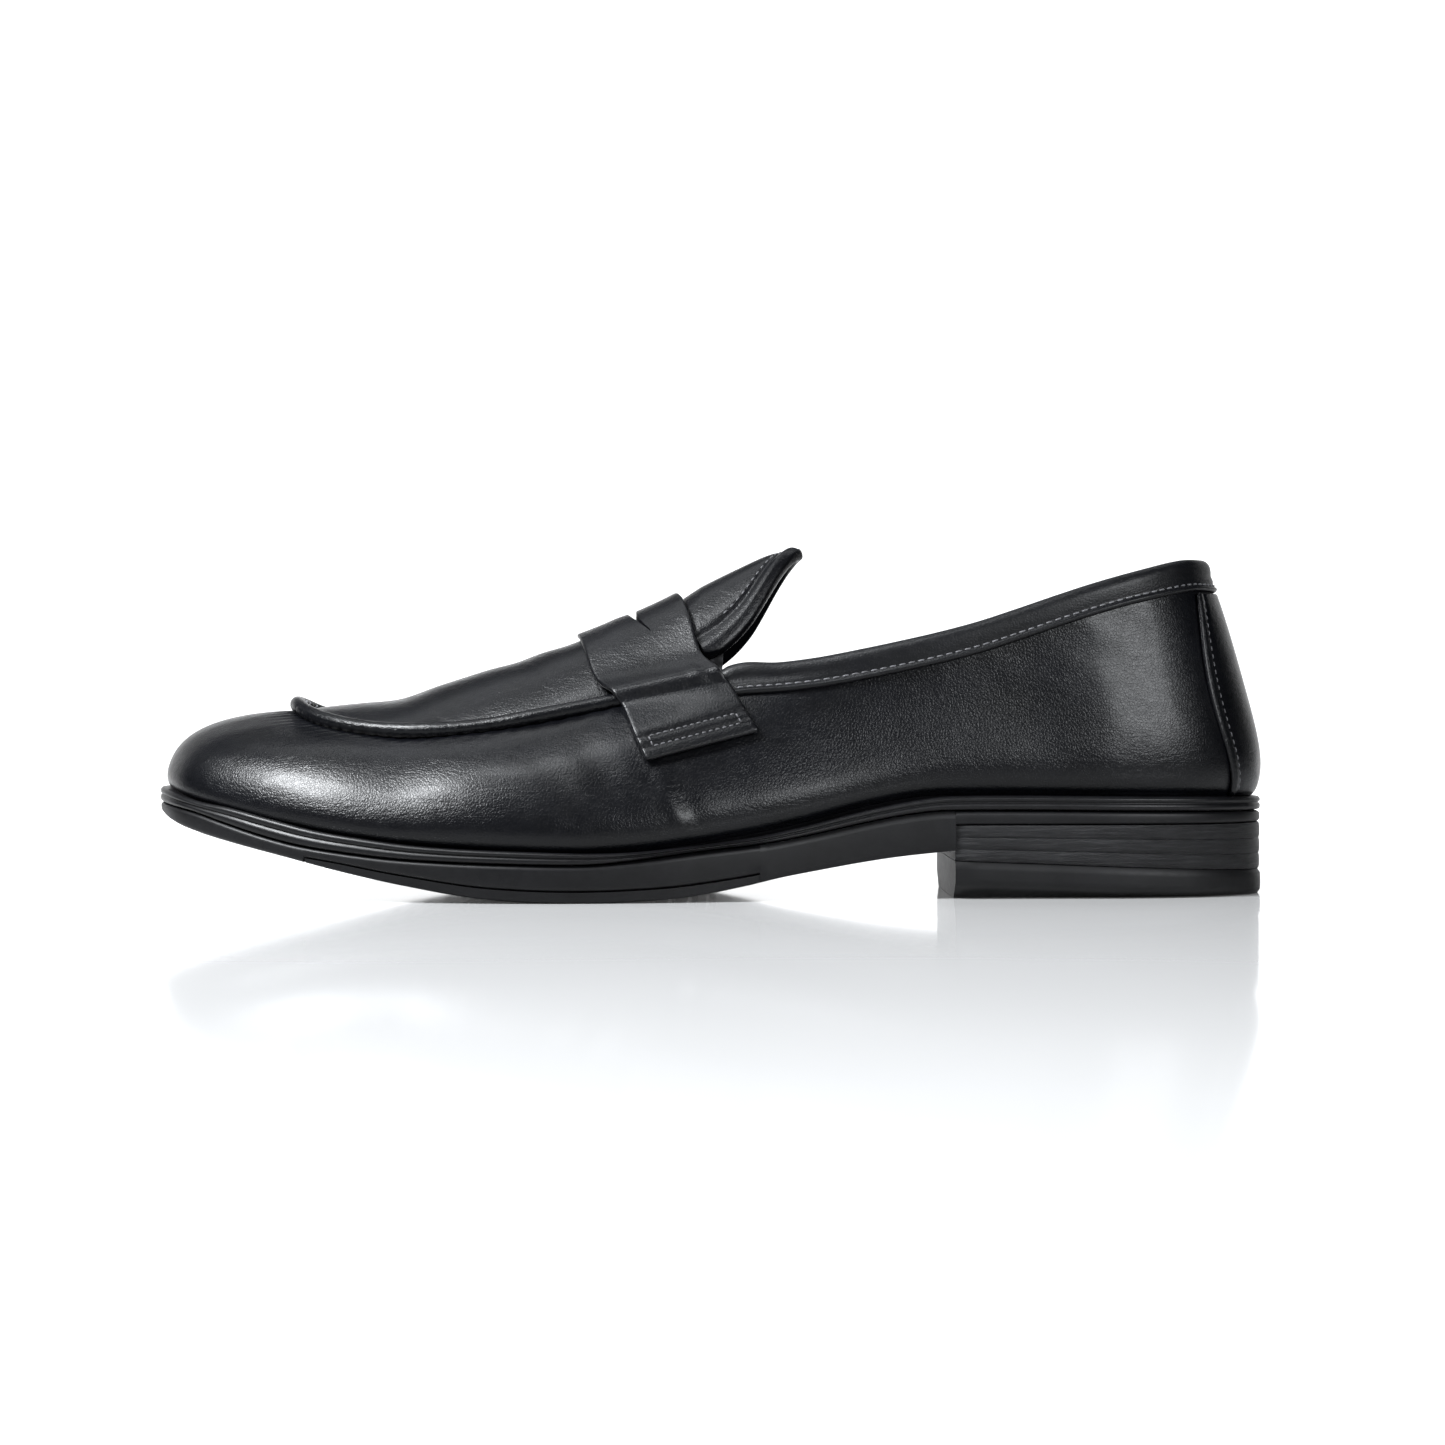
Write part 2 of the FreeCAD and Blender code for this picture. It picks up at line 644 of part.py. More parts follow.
def build_rivets():
    """Straight rivets through the shank and the insole board."""
    rivets = []
    for i, (x, y) in enumerate(RIVET_PLACES):
        rivet = doc.addObject("Part::Cylinder", "rivet_%d" % (i + 1))
        rivet.setExpression("Radius", "sheet.rivet_radius")
        rivet.setExpression("Height", "sheet.shank_thick + sheet.board_thick - 0.9")
        rivet.Placement.Base = Vector(x, y, WELT_TOP(x) - size("shank_thick") + 0.3)
        rivets.append(rivet)
    group = doc.addObject("Part::Compound", "shank_rivets")
    group.Links = rivets
    group.Label = "shank_rivets"
    PIECES.append(group)


INSIDE = LEDGE + size("upper_leather") + size("stiffener") + size("lining_leather") + 2 * SHEET_GAP + 0.68
BOARD_LOW = 0.04


def build_insole():
    board = size("board_thick")
    radius = size("rivet_radius") + size("hole_play")
    curved_strip("insole_board", -board - BOARD_LOW, -BOARD_LOW, -HALF_LENGTH, HALF_LENGTH, INSIDE,
                 holes=[(x, y, radius) for x, y in RIVET_PLACES], count=42)
    pad = size("heel_pad_thick")
    low = board + 0.08
    body = doc.addObject("PartDesign::Body", "heel_pad")
    body.Label = "heel_pad"
    sketch = sketch_on(body, "XZ_Plane", "heel_pad_profile")
    start, end = 62 * SCALE, HALF_LENGTH
    tip = start + 16 * SCALE
    base = [Vector(x, WELT_TOP(x) + low, 0) for x in steps(start, end, 9)]
    top = [Vector(x, WELT_TOP(x) + low + pad, 0) for x in steps(tip, end, 8)]
    nose = Vector(start, WELT_TOP(start) + low + 0.6, 0)
    sketch.addGeometry([spline_through(base), spline_through(top), Part.LineSegment(base[0], nose),
                        Part.LineSegment(nose, top[0]), Part.LineSegment(base[-1], top[-1])], False)
    feature = body.newObject("PartDesign::Pad", "heel_pad_pad")
    feature.Profile = sketch
    feature.Midplane = True
    feature.setExpression("Length", "sheet.blank_width")
    doc.recompute()
    body.Tip = feature
    pocket_through(body, "heel_pad_trim", frame_rectangle() + outline_curve(INSIDE + 3.0))
    PIECES.append(body)
    lift = smooth_line([(50 * SCALE, 0.0), (62 * SCALE, 0.75), (78 * SCALE, pad + 0.1), (100 * SCALE, pad + 0.1),
                        (150 * SCALE, pad + 0.1)])

    def sock_low(x):
        if x < 50 * SCALE:
            return WELT_TOP(x) + low
        return WELT_TOP(x) + low + max(lift(x), 0.0)

    lower = [Vector(x, sock_low(x), 0) for x in steps(-HALF_LENGTH, HALF_LENGTH, 61)]
    upper = [Vector(x, sock_low(x) + size("sock_thick"), 0) for x in steps(-HALF_LENGTH, HALF_LENGTH, 61)]
    shapes = [spline_through(upper), spline_through(lower), Part.LineSegment(upper[0], lower[0]),
              Part.LineSegment(upper[-1], lower[-1])]
    slab_body("sock_lining", shapes, INSIDE + 0.6)


# ---------------------------------------------------------------- upper

LEATHER = size("upper_leather")
STIFF = size("stiffener")
LINING = size("lining_leather")
SEAM = 0.997


def near_end(side):
    """1 at the toe and the heel where a stiffener lies under the lining, 0 in the waist."""
    toe = min(max((0.36 - side) / 0.07, 0.0), 1.0)
    heel = min(max((side - 0.62) / 0.07, 0.0), 1.0)
    share = max(toe, heel)
    return share * share * (3 - 2 * share)


def side_of(way):
    return abs((way + 1.0) % 2.0 - 1.0)


def build_side_wall():
    shape = wall_sheet(-SEAM, SEAM, fixed_at(0.0), fixed_at(1.0), fixed_at(0.0), fixed_at(-LEATHER), 97, 15)
    add_solid("side_wall", shape)


def build_side_lining():
    def outside(way):
        return -LEATHER - SHEET_GAP - (STIFF + SHEET_GAP) * near_end(side_of(way))

    def inside(way):
        return outside(way) - LINING

    shape = wall_sheet(-SEAM, SEAM, fixed_at(0.03), fixed_at(0.97), outside, inside, 97, 15)
    add_solid("side_lining", shape)


def build_stiffeners():
    outside = fixed_at(-LEATHER - SHEET_GAP)
    inside = fixed_at(-LEATHER - SHEET_GAP - STIFF)
    toe = wall_sheet(-0.28, 0.28, fixed_at(0.03), fixed_at(0.8), outside, inside, 33, 13)
    add_solid("toe_puff", toe)

    def counter_top(way):
        return 0.32 + 0.36 * min(max((side_of(way) - 0.7) / 0.2, 0.0), 1.0)

    heel = wall_sheet(0.7, 1.3, fixed_at(0.03), counter_top, outside, inside, 35, 11)
    add_solid("heel_counter", heel)
    pad = wall_sheet(0.7, 1.3, lambda way: counter_top(way) + 0.03, fixed_at(0.95), outside, inside, 35, 7)
    add_solid("collar_padding", pad)


def build_heel_grip():
    deep = LEATHER + STIFF + LINING + 3 * SHEET_GAP
    shape = wall_sheet(0.84, 1.16, fixed_at(0.12), fixed_at(0.93), fixed_at(-deep), fixed_at(-deep - 0.8), 21, 11)
    add_solid("heel_grip", shape)


COLLAR_START = way_of(8.8 * SCALE, way_round_edge)


def build_collar():
    """Outer band along the topline and the rolled cord that tops it."""
    def band_low(way):
        height = UPPER_EDGE_Z(way_round_edge(way)) - WELT_TOP(way_round_sole(way))
        return 1.0 - 5.2 * SCALE / height

    shape = wall_sheet(COLLAR_START, 2.0 - COLLAR_START, band_low, fixed_at(1.0), fixed_at(SHEET_GAP + 0.7),
                       fixed_at(SHEET_GAP), 61, 5)
    add_solid("collar_band", shape)
    radius = size("piping_radius")
    points = []
    for way in steps(COLLAR_START, 2.0 - COLLAR_START, 49):
        point = wall_skin(way, 1.0, -1.1)
        points.append(point + Vector(0, 0, radius + 0.35))
    add_solid("collar_piping", cord_along(points, radius))


def build_back_strip():
    def width(up):
        return 0.115 + 0.03 * up

    outer, inner = [], []
    for across in steps(-1.0, 1.0, 15):
        outer_row, inner_row = [], []
        for up in steps(0.022, 0.895, 12):
            reach = width(math.sin(math.pi * up)) - 0.02 * up
            way = 1.0 + reach * across
            outer_row.append(wall_skin(way, up, SHEET_GAP + 1.0))
            inner_row.append(wall_skin(way, up, SHEET_GAP))
        outer.append(outer_row)
        inner.append(inner_row)
    add_solid("back_strip", thick_sheet(outer, inner))


def lip_line(inset, rise, x_limit):
    """Points along the lip line from the lateral strap end round the tip to the medial one."""
    reach = way_of(x_limit, way_round_edge)
    points = []
    for way in steps(-reach, reach, 41):
        edge = wall_point(way, 1.0)
        step = 0.003
        along = wall_point(way + step, 1.0) - wall_point(way - step, 1.0)
        along.z = 0
        along.normalize()
        inwards = Vector(along.y, -along.x, 0)
        points.append(edge + inwards * inset + Vector(0, 0, rise))
    return points


APRON_END = -13.5 * SCALE


def build_apron():
    radius = size("lip_radius")
    add_solid("apron_lip", cord_along(lip_line(radius * 0.55, radius * 0.98, APRON_END), radius))
    inset = 2 * radius * 0.55 + radius * 0.95 + 0.25
    outline = lip_line(inset, 0, APRON_END)
    for point in outline:
        point.z = 0
    ring = [Vector(p.x, p.y, 0) for p in outline]
    outer_cut = closed_plan(ring)
    leather = LEATHER - 0.2
    apron = top_blank(0.0, -leather, -116 * SCALE, APRON_END + 6).common(outer_cut)
    add_solid("apron", apron)
    lining = top_blank(-leather - GAP, -leather - GAP - LINING, -116 * SCALE, APRON_END + 6)
    add_solid("apron_lining", lining.common(outer_cut))


def closed_plan(points):
    """A tall cutter over a plan line closed by a straight edge."""
    curve = spline_through(points)
    closing = Part.LineSegment(points[-1], points[0])
    face = Part.Face(Part.Wire([curve.toShape(), closing.toShape()]))
    return face.extrude(Vector(0, 0, 160 * SCALE))


def top_blank(outside, inside, x_from, x_to):
    outer, inner = [], []
    for x in steps(x_from, x_to, 27):
        wide, centre = half_width(max(x, -104 * SCALE))
        wide = min(wide, 33 * SCALE)
        outer.append([top_skin(x, centre + wide * a, outside) for a in steps(-1.0, 1.0, 15)])
        inner.append([top_skin(x, centre + wide * a, inside) for a in steps(-1.0, 1.0, 15)])
    return thick_sheet(outer, inner)


STRAP_FRONT = smooth_line([(0.0, -34.5), (0.25, -32.6), (0.5, -28.5), (0.75, -22.5), (1.0, -15.4)])
STRAP_REAR = smooth_line([(0.0, -8.0), (0.25, -5.8), (0.5, -1.8), (0.68, 2.6), (0.79, 5.6), (0.9, 9.2), (1.0, 12.6)])
STRAP_HEM = smooth_line([(-17.0, 35.6), (12.6, 43.4), (20.0, 45.4)])


def wall_at_height(x, z, side, offset):
    """Point of the side wall at x and height z on one side (-1 lateral, 1 medial)."""
    def level(way):
        low, high = 0.0, 1.0
        for _ in range(22):
            middle = (low + high) / 2.0
            if wall_point(way, middle).z < z:
                low = middle
            else:
                high = middle
        return low

    front, rear = 0.15, 0.85
    for _ in range(22):
        middle = (front + rear) / 2.0
        if wall_point(side * middle, level(side * middle)).x < x:
            front = middle
        else:
            rear = middle
    return wall_skin(side * front, level(side * front), offset)


def strap_section(along, lift):
    """Points across the strap from the lateral hem over the top to the medial hem."""
    shares = [1.0, 0.9, 0.79, 0.68, 0.5, 0.34, 0.17]
    halves = {}
    for side in (-1, 1):
        row = []
        for share in shares:
            x = (STRAP_FRONT(share) * (1 - along) + STRAP_REAR(share) * along) * SCALE
            wide, centre = half_width(x)
            rim = UPPER_EDGE_Z(x)
            hem = STRAP_HEM(x / SCALE) * SCALE
            if share > 0.69:
                height = hem + (rim - 1.6 - hem) * (1.0 - share) / 0.21
                base = wall_at_height(x, height, side, lift + 0.9 * (1.0 - share) / 0.21)
            elif share > 0.6:
                base = Vector(x, centre + side * (wide + 0.9), rim + 3.1 * SCALE) + Vector(0, side * 0.8, 0.6) * lift
            else:
                reach = (wide - 1.5) * share / 0.62
                base = top_skin(x, centre + side * reach, lift + 1.3 * (share / 0.62) ** 2)
            row.append(base)
        halves[side] = row
    x = (STRAP_FRONT(0.0) * (1 - along) + STRAP_REAR(0.0) * along) * SCALE
    middle = top_skin(x, half_width(x)[1], lift)
    return even_points(halves[-1] + [middle] + halves[1][::-1], 27)


def even_points(points, count):
    """The same smooth line with evenly spaced points."""
    curve = spline_through(points)
    return curve.discretize(Number=count)


STRAP_LIFT = 0.65


def build_strap():
    thick = size("strap_thick")
    outer = [strap_section(along, STRAP_LIFT + thick) for along in steps(0.0, 1.0, 9)]
    inner = [strap_section(along, STRAP_LIFT) for along in steps(0.0, 1.0, 9)]
    strap = thick_sheet(outer, inner)
    gap = size("strap_slot_gap") * SCALE
    front, rear = -21.4 * SCALE, -19.2 * SCALE
    half = 15.0 * SCALE
    points = [Vector(front + 6 * SCALE, -half, 0), Vector(front, -5 * SCALE, 0), Vector(front, 5 * SCALE, 0),
              Vector(front + 6 * SCALE, half, 0), Vector(rear + 1.2, 7 * SCALE, 0), Vector(rear, 0, 0),
              Vector(rear + 1.2, -7 * SCALE, 0), Vector(front + 6 * SCALE, -half, 0)]
    face = Part.Face(Part.makePolygon(points))
    slot = face.extrude(Vector(0, 0, 160 * SCALE))
    add_solid("saddle_strap", strap.cut(slot))


TONGUE_HALF = smooth_line([(-30.0, 24.6), (-10.0, 24.0), (0.3, 22.6), (6.6, 20.6), (11.7, 17.8), (16.0, 13.7),
                           (20.7, 7.6), (23.6, 2.5)])


def tongue_outline(shrink):
    """Plan outline of the tongue; its front edge follows the strap's rear edge from below."""
    ways = [3.0, 6.0, 9.0, 12.0, 15.5, 18.5, 21.0, 22.8]
    points = []
    for side in (-1, 1):
        row = [Vector((x - shrink * 0.7) * SCALE, side * (TONGUE_HALF(x) - shrink) * SCALE, 0) for x in ways]
        points.append(row)
    tip = Vector((24.2 - shrink) * SCALE, 0, 0)
    front = []
    for y in steps(-21.4, 21.4, 9):
        share = abs(y) / 31.0
        x = STRAP_REAR(share) - 4.2 + shrink * 0.2
        front.append(Vector(x * SCALE, (y - shrink * (1 if y > 0 else -1) * min(abs(y) / 10.0, 1.0)) * SCALE, 0))
    return front, points[0], points[1], tip


def tongue_cutter(shrink):
    front, lateral, medial, tip = tongue_outline(shrink)
    rim = lateral + [tip] + medial[::-1]
    front_curve = spline_through(front)
    rim_curve = spline_through(rim)
    edges = [rim_curve.toShape(), Part.LineSegment(medial[0], front[-1]).toShape(),
             front_curve.toShape(), Part.LineSegment(front[0], lateral[0]).toShape()]
    face = Part.Face(Part.Wire(Part.__sortEdges__(edges)))
    return face.extrude(Vector(0, 0, 160 * SCALE))


TONGUE_DROP = -0.3


def build_tongue():
    leather = size("tongue_leather")
    foam = size("tongue_foam")
    top = TONGUE_DROP
    layers = [("tongue", top, top - leather, 0.0),
              ("tongue_padding", top - leather - GAP, top - leather - GAP - foam, 1.6),
              ("tongue_lining", top - leather - foam - 2 * GAP, top - leather - foam - 2 * GAP - LINING, 0.9)]
    for name, outside, inside, shrink in layers:
        blank = top_blank(outside, inside, -16 * SCALE, 30 * SCALE)
        add_solid(name, blank.common(tongue_cutter(shrink)))


def build_gores():
    """Elastic pieces from under the collar's front ends towards the tongue."""
    for side, name in ((-1, "elastic_gore_lateral"), (1, "elastic_gore_medial")):
        outer, inner = [], []
        for x in steps(-9 * SCALE, 3.0 * SCALE, 5):
            wide, centre = half_width(x)
            rim = UPPER_EDGE_Z(x)
            low = Vector(x, centre + side * (wide - 4.6), rim - 5.0)
            high = top_skin(x, centre + side * (wide - 9.4), -5.8)
            outer.append([low, (low + high) * 0.5 + Vector(0, side * 0.4, 0), high])
            shift = Vector(0, -side * 0.7, -0.5)
            inner.append([point + shift for point in outer[-1]])
        add_solid(name, thick_sheet(outer, inner))


tread_line = build_outsole()
build_tread_plate(tread_line)
build_welt()
build_heel()
build_nails()
build_filler()
build_shank()
build_rivets()
build_insole()
build_side_wall()
build_side_lining()
build_stiffeners()
build_heel_grip()
build_collar()
build_back_strip()
build_apron()
build_strap()
build_tongue()
build_gores()
doc.recompute()

# ---------------------------------------------------------------- checks and files

for thing in doc.Objects:
    if "Invalid" in thing.State or "Error" in thing.State:
        raise RuntimeError("feature failed: " + thing.Label)
    if thing.TypeId == "PartDesign::Pocket":
        before = thing.BaseFeature.Shape
        if len(thing.Shape.Faces) == len(before.Faces) and not thing.Shape.Volume < 0.99 * before.Volume:
            raise RuntimeError("pocket cuts nothing: " + thing.Label)

os.makedirs("parts", exist_ok=True)
for piece in PIECES:
    shape = piece.Shape
    if shape.isNull() or not shape.isValid() or shape.Volume < 1.0:
        raise RuntimeError("bad solid: " + piece.Label)
    shape.exportStep("parts/" + piece.Label + ".step")
    print(piece.Label, round(shape.Volume, 1), len(shape.Solids))
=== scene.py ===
"""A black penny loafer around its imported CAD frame: leather upper, ridged welt, stacked heel."""

import math

import bmesh
import bpy
import numpy as np
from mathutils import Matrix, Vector


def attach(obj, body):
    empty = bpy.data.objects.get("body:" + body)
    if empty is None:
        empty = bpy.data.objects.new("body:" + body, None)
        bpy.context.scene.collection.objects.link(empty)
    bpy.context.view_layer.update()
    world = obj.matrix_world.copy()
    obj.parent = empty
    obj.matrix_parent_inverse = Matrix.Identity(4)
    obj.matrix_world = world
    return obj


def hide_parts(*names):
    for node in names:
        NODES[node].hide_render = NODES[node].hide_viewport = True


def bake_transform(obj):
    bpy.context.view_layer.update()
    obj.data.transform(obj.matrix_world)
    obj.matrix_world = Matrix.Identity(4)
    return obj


MM = 0.001
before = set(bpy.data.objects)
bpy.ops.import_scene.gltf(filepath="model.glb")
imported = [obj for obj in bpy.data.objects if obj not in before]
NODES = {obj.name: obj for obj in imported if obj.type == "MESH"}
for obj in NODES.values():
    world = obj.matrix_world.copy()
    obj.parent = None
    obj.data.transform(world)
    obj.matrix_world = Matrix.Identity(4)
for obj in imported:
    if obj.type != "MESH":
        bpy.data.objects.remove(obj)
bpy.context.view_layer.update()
SHOE = "shoe"
TONGUE = "tongue"


# ---------------------------------------------------------------- smooth lines and the last, in mm

class Smooth:
    """A smooth function through (place, value) points; with a period it closes on itself."""

    def __init__(self, points, period=None):
        points = sorted(points)
        if period:
            first = [(p + period, v) for p, v in points[:3]]
            last = [(p - period, v) for p, v in points[-3:]]
            points = last + points + first
        self.period = period
        self.places = np.array([p for p, _ in points], float)
        self.values = np.array([v for _, v in points], float)
        low = np.maximum(np.arange(len(points)) - 1, 0)
        high = np.minimum(np.arange(len(points)) + 1, len(points) - 1)
        self.slopes = (self.values[high] - self.values[low]) / (self.places[high] - self.places[low])

    def __call__(self, place):
        place = np.asarray(place, float)
        if self.period:
            place = (place + self.period / 2) % self.period - self.period / 2
        i = np.clip(np.searchsorted(self.places, place, side="right") - 1, 0, len(self.places) - 2)
        span = self.places[i + 1] - self.places[i]
        a = np.clip((place - self.places[i]) / span, -0.4, 1.4)
        b = 1 - a
        return (self.values[i] * b * b * (1 + 2 * a) + self.values[i + 1] * a * a * (3 - 2 * a)
                + span * a * b * (self.slopes[i] * b - self.slopes[i + 1] * a))


# LEDGE is how far the welt stands out past the upper's foot; HALF is half the sole's length; the heel's
# breast is its flat front.
LEDGE = 2.9
LIP_RADIUS = 2.1
HALF = 150.0
BREAST_X = 64.6
HEEL_TOP_Z = 19.2

WELT_TOP = Smooth([
    (-150, 29.3), (-147, 28.5), (-136, 25.4), (-122, 22.0), (-108, 18.9), (-93, 16.4), (-78, 14.6),
    (-50, 12.9), (-31, 12.5), (-16, 13.5), (-2, 15.3), (13, 17.8), (25, 20.3), (42, 24.6), (55, 26.9),
    (66, 27.4), (110, 27.1), (150, 26.7)])
WELT_EDGE = Smooth([
    (-150, 28.6), (-146, 27.8), (-134.5, 25.1), (-125, 23.6), (-112, 20.6), (-102.5, 18.4), (-93.6, 16.9),
    (-72.7, 14.3), (-42.7, 12.9), (-25, 12.6), (-10.8, 13.5), (11.3, 16.2), (25, 19.0), (38.6, 22.4),
    (53.8, 25.5), (64.6, 26.7), (110, 26.5), (150, 26.1)])
SOLE_TOP = Smooth([
    (-150, 24.9), (-136, 22.5), (-127, 20.0), (-116, 16.9), (-105, 14.4), (-89, 12.2), (-76, 11.0),
    (-54, 10.1), (-31, 9.8), (-19, 10.8), (-2, 13.0), (14, 14.8), (26, 16.9), (43, 20.5), (52, 22.1),
    (62, 23.1), (110, 22.9), (150, 22.5)])
SOLE_BOTTOM = Smooth([
    (-150, 22.6), (-143.6, 19.7), (-133.7, 16.9), (-121.6, 14.1), (-109, 11.3), (-97.7, 8.6), (-84, 5.6),
    (-75, 3.9), (-66, 2.3), (-58, 1.15), (-48, 0.35), (-38, 0.0), (-28, 0.0), (-18, 0.35), (-8, 1.0),
    (-1.6, 1.8), (8.6, 3.7), (18.8, 6.0), (29.2, 7.9), (39.7, 9.7), (50.2, 11.2), (64, 12.6)])
TREAD_SHARE = Smooth([(-112, 0.0), (-104, 0.4), (-92, 0.7), (-50, 1.0), (-5, 1.0), (13, 0.75)])
TREAD_THICK = 3.0
TREAD_FROM = -104.0
TREAD_TO = 13.7
UPPER_EDGE_Z = Smooth([
    (-113.5, 49.4), (-109, 47.0), (-102, 44.7), (-91.5, 42.9), (-78.4, 42.1), (-62.4, 42.9),
    (-46.7, 45.4), (-24.9, 49.7), (-8, 53.4), (7.3, 56.7), (19.1, 57.8), (29.5, 59.2), (39.9, 61.2),
    (50.3, 63.4), (60.7, 65.8), (71.1, 68.6), (81.4, 72.0), (91.9, 75.6), (102.9, 79.1), (114.5, 82.3),
    (127, 85.3), (135.5, 85.9)])
RIDGE_Z = Smooth([
    (-120, 48.2), (-113, 49.2), (-105, 50.2), (-94.7, 51.2), (-83.8, 52.3), (-72.9, 56.0), (-62, 59.4),
    (-51, 62.6), (-40, 66.2), (-30, 69.9), (-20, 73.6), (-10, 78.2), (-2, 82.6), (8.9, 87.8), (17, 91.6),
    (24, 94.0), (32, 96.0)])
SOLE_LATERAL = [
    (-147, -7), (-140, -20), (-128, -31), (-112, -40), (-90, -47.5), (-65, -52), (-40, -53.5), (-15, -51),
    (10, -45.5), (35, -39.5), (60, -35.5), (85, -33.5), (110, -32), (130, -26.5), (144, -15.5)]
SOLE_MEDIAL = [
    (-147, 21), (-140, 30), (-128, 38.5), (-112, 45), (-90, 51), (-70, 53.4), (-50, 52.4), (-25, 47),
    (0, 38.5), (25, 32.5), (50, 30), (75, 30.5), (100, 31.5), (120, 29.5), (136, 23), (146, 12)]
EDGE_LATERAL = [
    (-111, -4), (-105, -12.5), (-97, -19), (-88, -24), (-76, -28), (-60, -30.5), (-45, -31.5), (-25, -31),
    (-8, -30), (7, -29.5), (20, -30), (40, -31), (60, -31), (80, -29.5), (100, -27.5), (115, -24),
    (127, -16.5), (133, -8.5)]
EDGE_MEDIAL = [
    (-111, 15), (-105, 22), (-97, 27), (-88, 30), (-76, 32), (-60, 32.5), (-45, 32), (-25, 30.5),
    (-8, 29), (7, 28), (20, 28), (40, 29), (60, 29.5), (80, 28.5), (100, 26.5), (115, 23), (127, 16),
    (133, 8)]
STEEP = Smooth([(0.0, 3.2), (0.25, 2.9), (0.45, 2.3), (0.7, 2.0), (1.0, 1.8)])
SHOULDER = Smooth([(0.0, 0.5), (0.2, 0.62), (0.4, 0.9), (0.6, 1.0), (1.0, 1.0)])
BULGE = Smooth([(0.0, 1.0), (0.2, 1.6), (0.4, 2.6), (0.6, 3.2), (0.8, 2.8), (1.0, 2.4)])


def sole_x(way):
    """x of the sole's outline. way is 0 at the toe and 1 at the heel, negative on the lateral side."""
    return -HALF * np.cos(np.pi * way)


def edge_x(way):
    """x of the upper's top edge: the lip line, then the topline."""
    across = np.cos(np.pi * way)
    return -across * (124.5 - 11.0 * np.tanh(2 * across) / math.tanh(2.0))


def way_of(x, line):
    """The way at which line reaches x, by halving."""
    low = np.zeros_like(np.asarray(x, float))
    high = low + 1.0
    for _ in range(40):
        middle = (low + high) / 2
        under = line(middle) < x
        low = np.where(under, middle, low)
        high = np.where(under, high, middle)
    return low


def plan_line(line, tip_y, lateral, medial):
    """y against way, right round the shoe."""
    points = [(0.0, tip_y), (1.0, 0.0)]
    points += [(-float(way_of(x, line)), y) for x, y in lateral]
    points += [(float(way_of(x, line)), y) for x, y in medial]
    return Smooth(points, period=2.0)


SOLE_Y = plan_line(sole_x, 8.0, SOLE_LATERAL, SOLE_MEDIAL)
EDGE_Y = plan_line(edge_x, 5.5, EDGE_LATERAL, EDGE_MEDIAL)


def unit(v):
    """Vectors scaled to length 1."""
    return v / np.maximum(np.linalg.norm(v, axis=-1, keepdims=True), 1e-12)


def xyz(x, y, z):
    return np.stack(np.broadcast_arrays(x, y, z), axis=-1).astype(float)


def sole_inwards(way):
    """Level direction into the shoe from the sole's outline."""
    step = 0.002
    ahead = xyz(sole_x(way + step), SOLE_Y(way + step), 0.0)
    behind = xyz(sole_x(way - step), SOLE_Y(way - step), 0.0)
    along = unit(ahead - behind)
    return xyz(along[..., 1], -along[..., 0], 0.0)


def sole_point(way, inset):
    return xyz(sole_x(way), SOLE_Y(way), 0.0) + sole_inwards(way) * np.asarray(inset)[..., None]


def side_of(way):
    """The way without its side: 0 at the toe, 1 at the heel."""
    return np.abs((np.asarray(way) + 1.0) % 2.0 - 1.0)


def wall_point(way, up):
    """The upper's outside: up is 0 at the welt and 1 at the lip line or topline."""
    way, up = np.broadcast_arrays(np.asarray(way, float), np.asarray(up, float))
    side = side_of(way)
    inwards = sole_inwards(way)
    foot = xyz(sole_x(way), SOLE_Y(way), 0.0) + inwards * LEDGE
    foot[..., 2] = WELT_TOP(foot[..., 0])
    x = edge_x(way)
    edge = xyz(x, EDGE_Y(way), UPPER_EDGE_Z(x))
    shoulder = np.minimum(SHOULDER(side), 1.0)
    roundness = 2.0 * (1.0 - shoulder)
    rise = up * (1 - roundness) + np.sin(np.pi / 2 * np.clip(up, 0, 1)) * roundness
    rise = np.clip(rise, 0.0, 1.0)
    closed = 1.0 - (1.0 - rise ** STEEP(side)) ** shoulder
    swell = (rise / 0.17) * np.exp(1.0 - rise / 0.17) * BULGE(side)
    point = foot + (edge - foot) * closed[..., None] - inwards * swell[..., None]
    point[..., 2] = foot[..., 2] + (edge[..., 2] - foot[..., 2]) * rise
    return point


def wall_normal(way, up):
    step = 0.004
    rising = wall_point(way, np.clip(up + step, 0, 1)) - wall_point(way, np.clip(up - step, 0, 1))
    running = wall_point(way + step, up) - wall_point(way - step, up)
    return unit(np.cross(rising, running))


def wall_skin(way, up, offset):
    return wall_point(way, up) + wall_normal(way, up) * np.asarray(offset)[..., None]


def half_width(x):
    """Half the width between the two top edges at x, and the middle between them."""
    way = way_of(x, edge_x)
    lateral, medial = EDGE_Y(-way), EDGE_Y(way)
    return (medial - lateral) / 2, (medial + lateral) / 2


LIP_INSET = 2 * LIP_RADIUS - 0.3


def top_height(x, y):
    """Height of the instep surface that the apron and the tongue lie on."""
    known = np.maximum(x, -106.0)
    wide, centre = half_width(known)
    drop = RIDGE_Z(known) - UPPER_EDGE_Z(known) - 2.6
    off = (y - centre) / (wide - LIP_INSET)
    return RIDGE_Z(x) - drop * off * off


def top_normal(x, y):
    step = 0.2
    slope_x = (top_height(x + step, y) - top_height(x - step, y)) / (2 * step)
    slope_y = (top_height(x, y + step) - top_height(x, y - step)) / (2 * step)
    return unit(xyz(-slope_x, -slope_y, 1.0))


def top_skin(x, y, offset):
    return xyz(x, y, top_height(x, y)) + top_normal(x, y) * np.asarray(offset)[..., None]


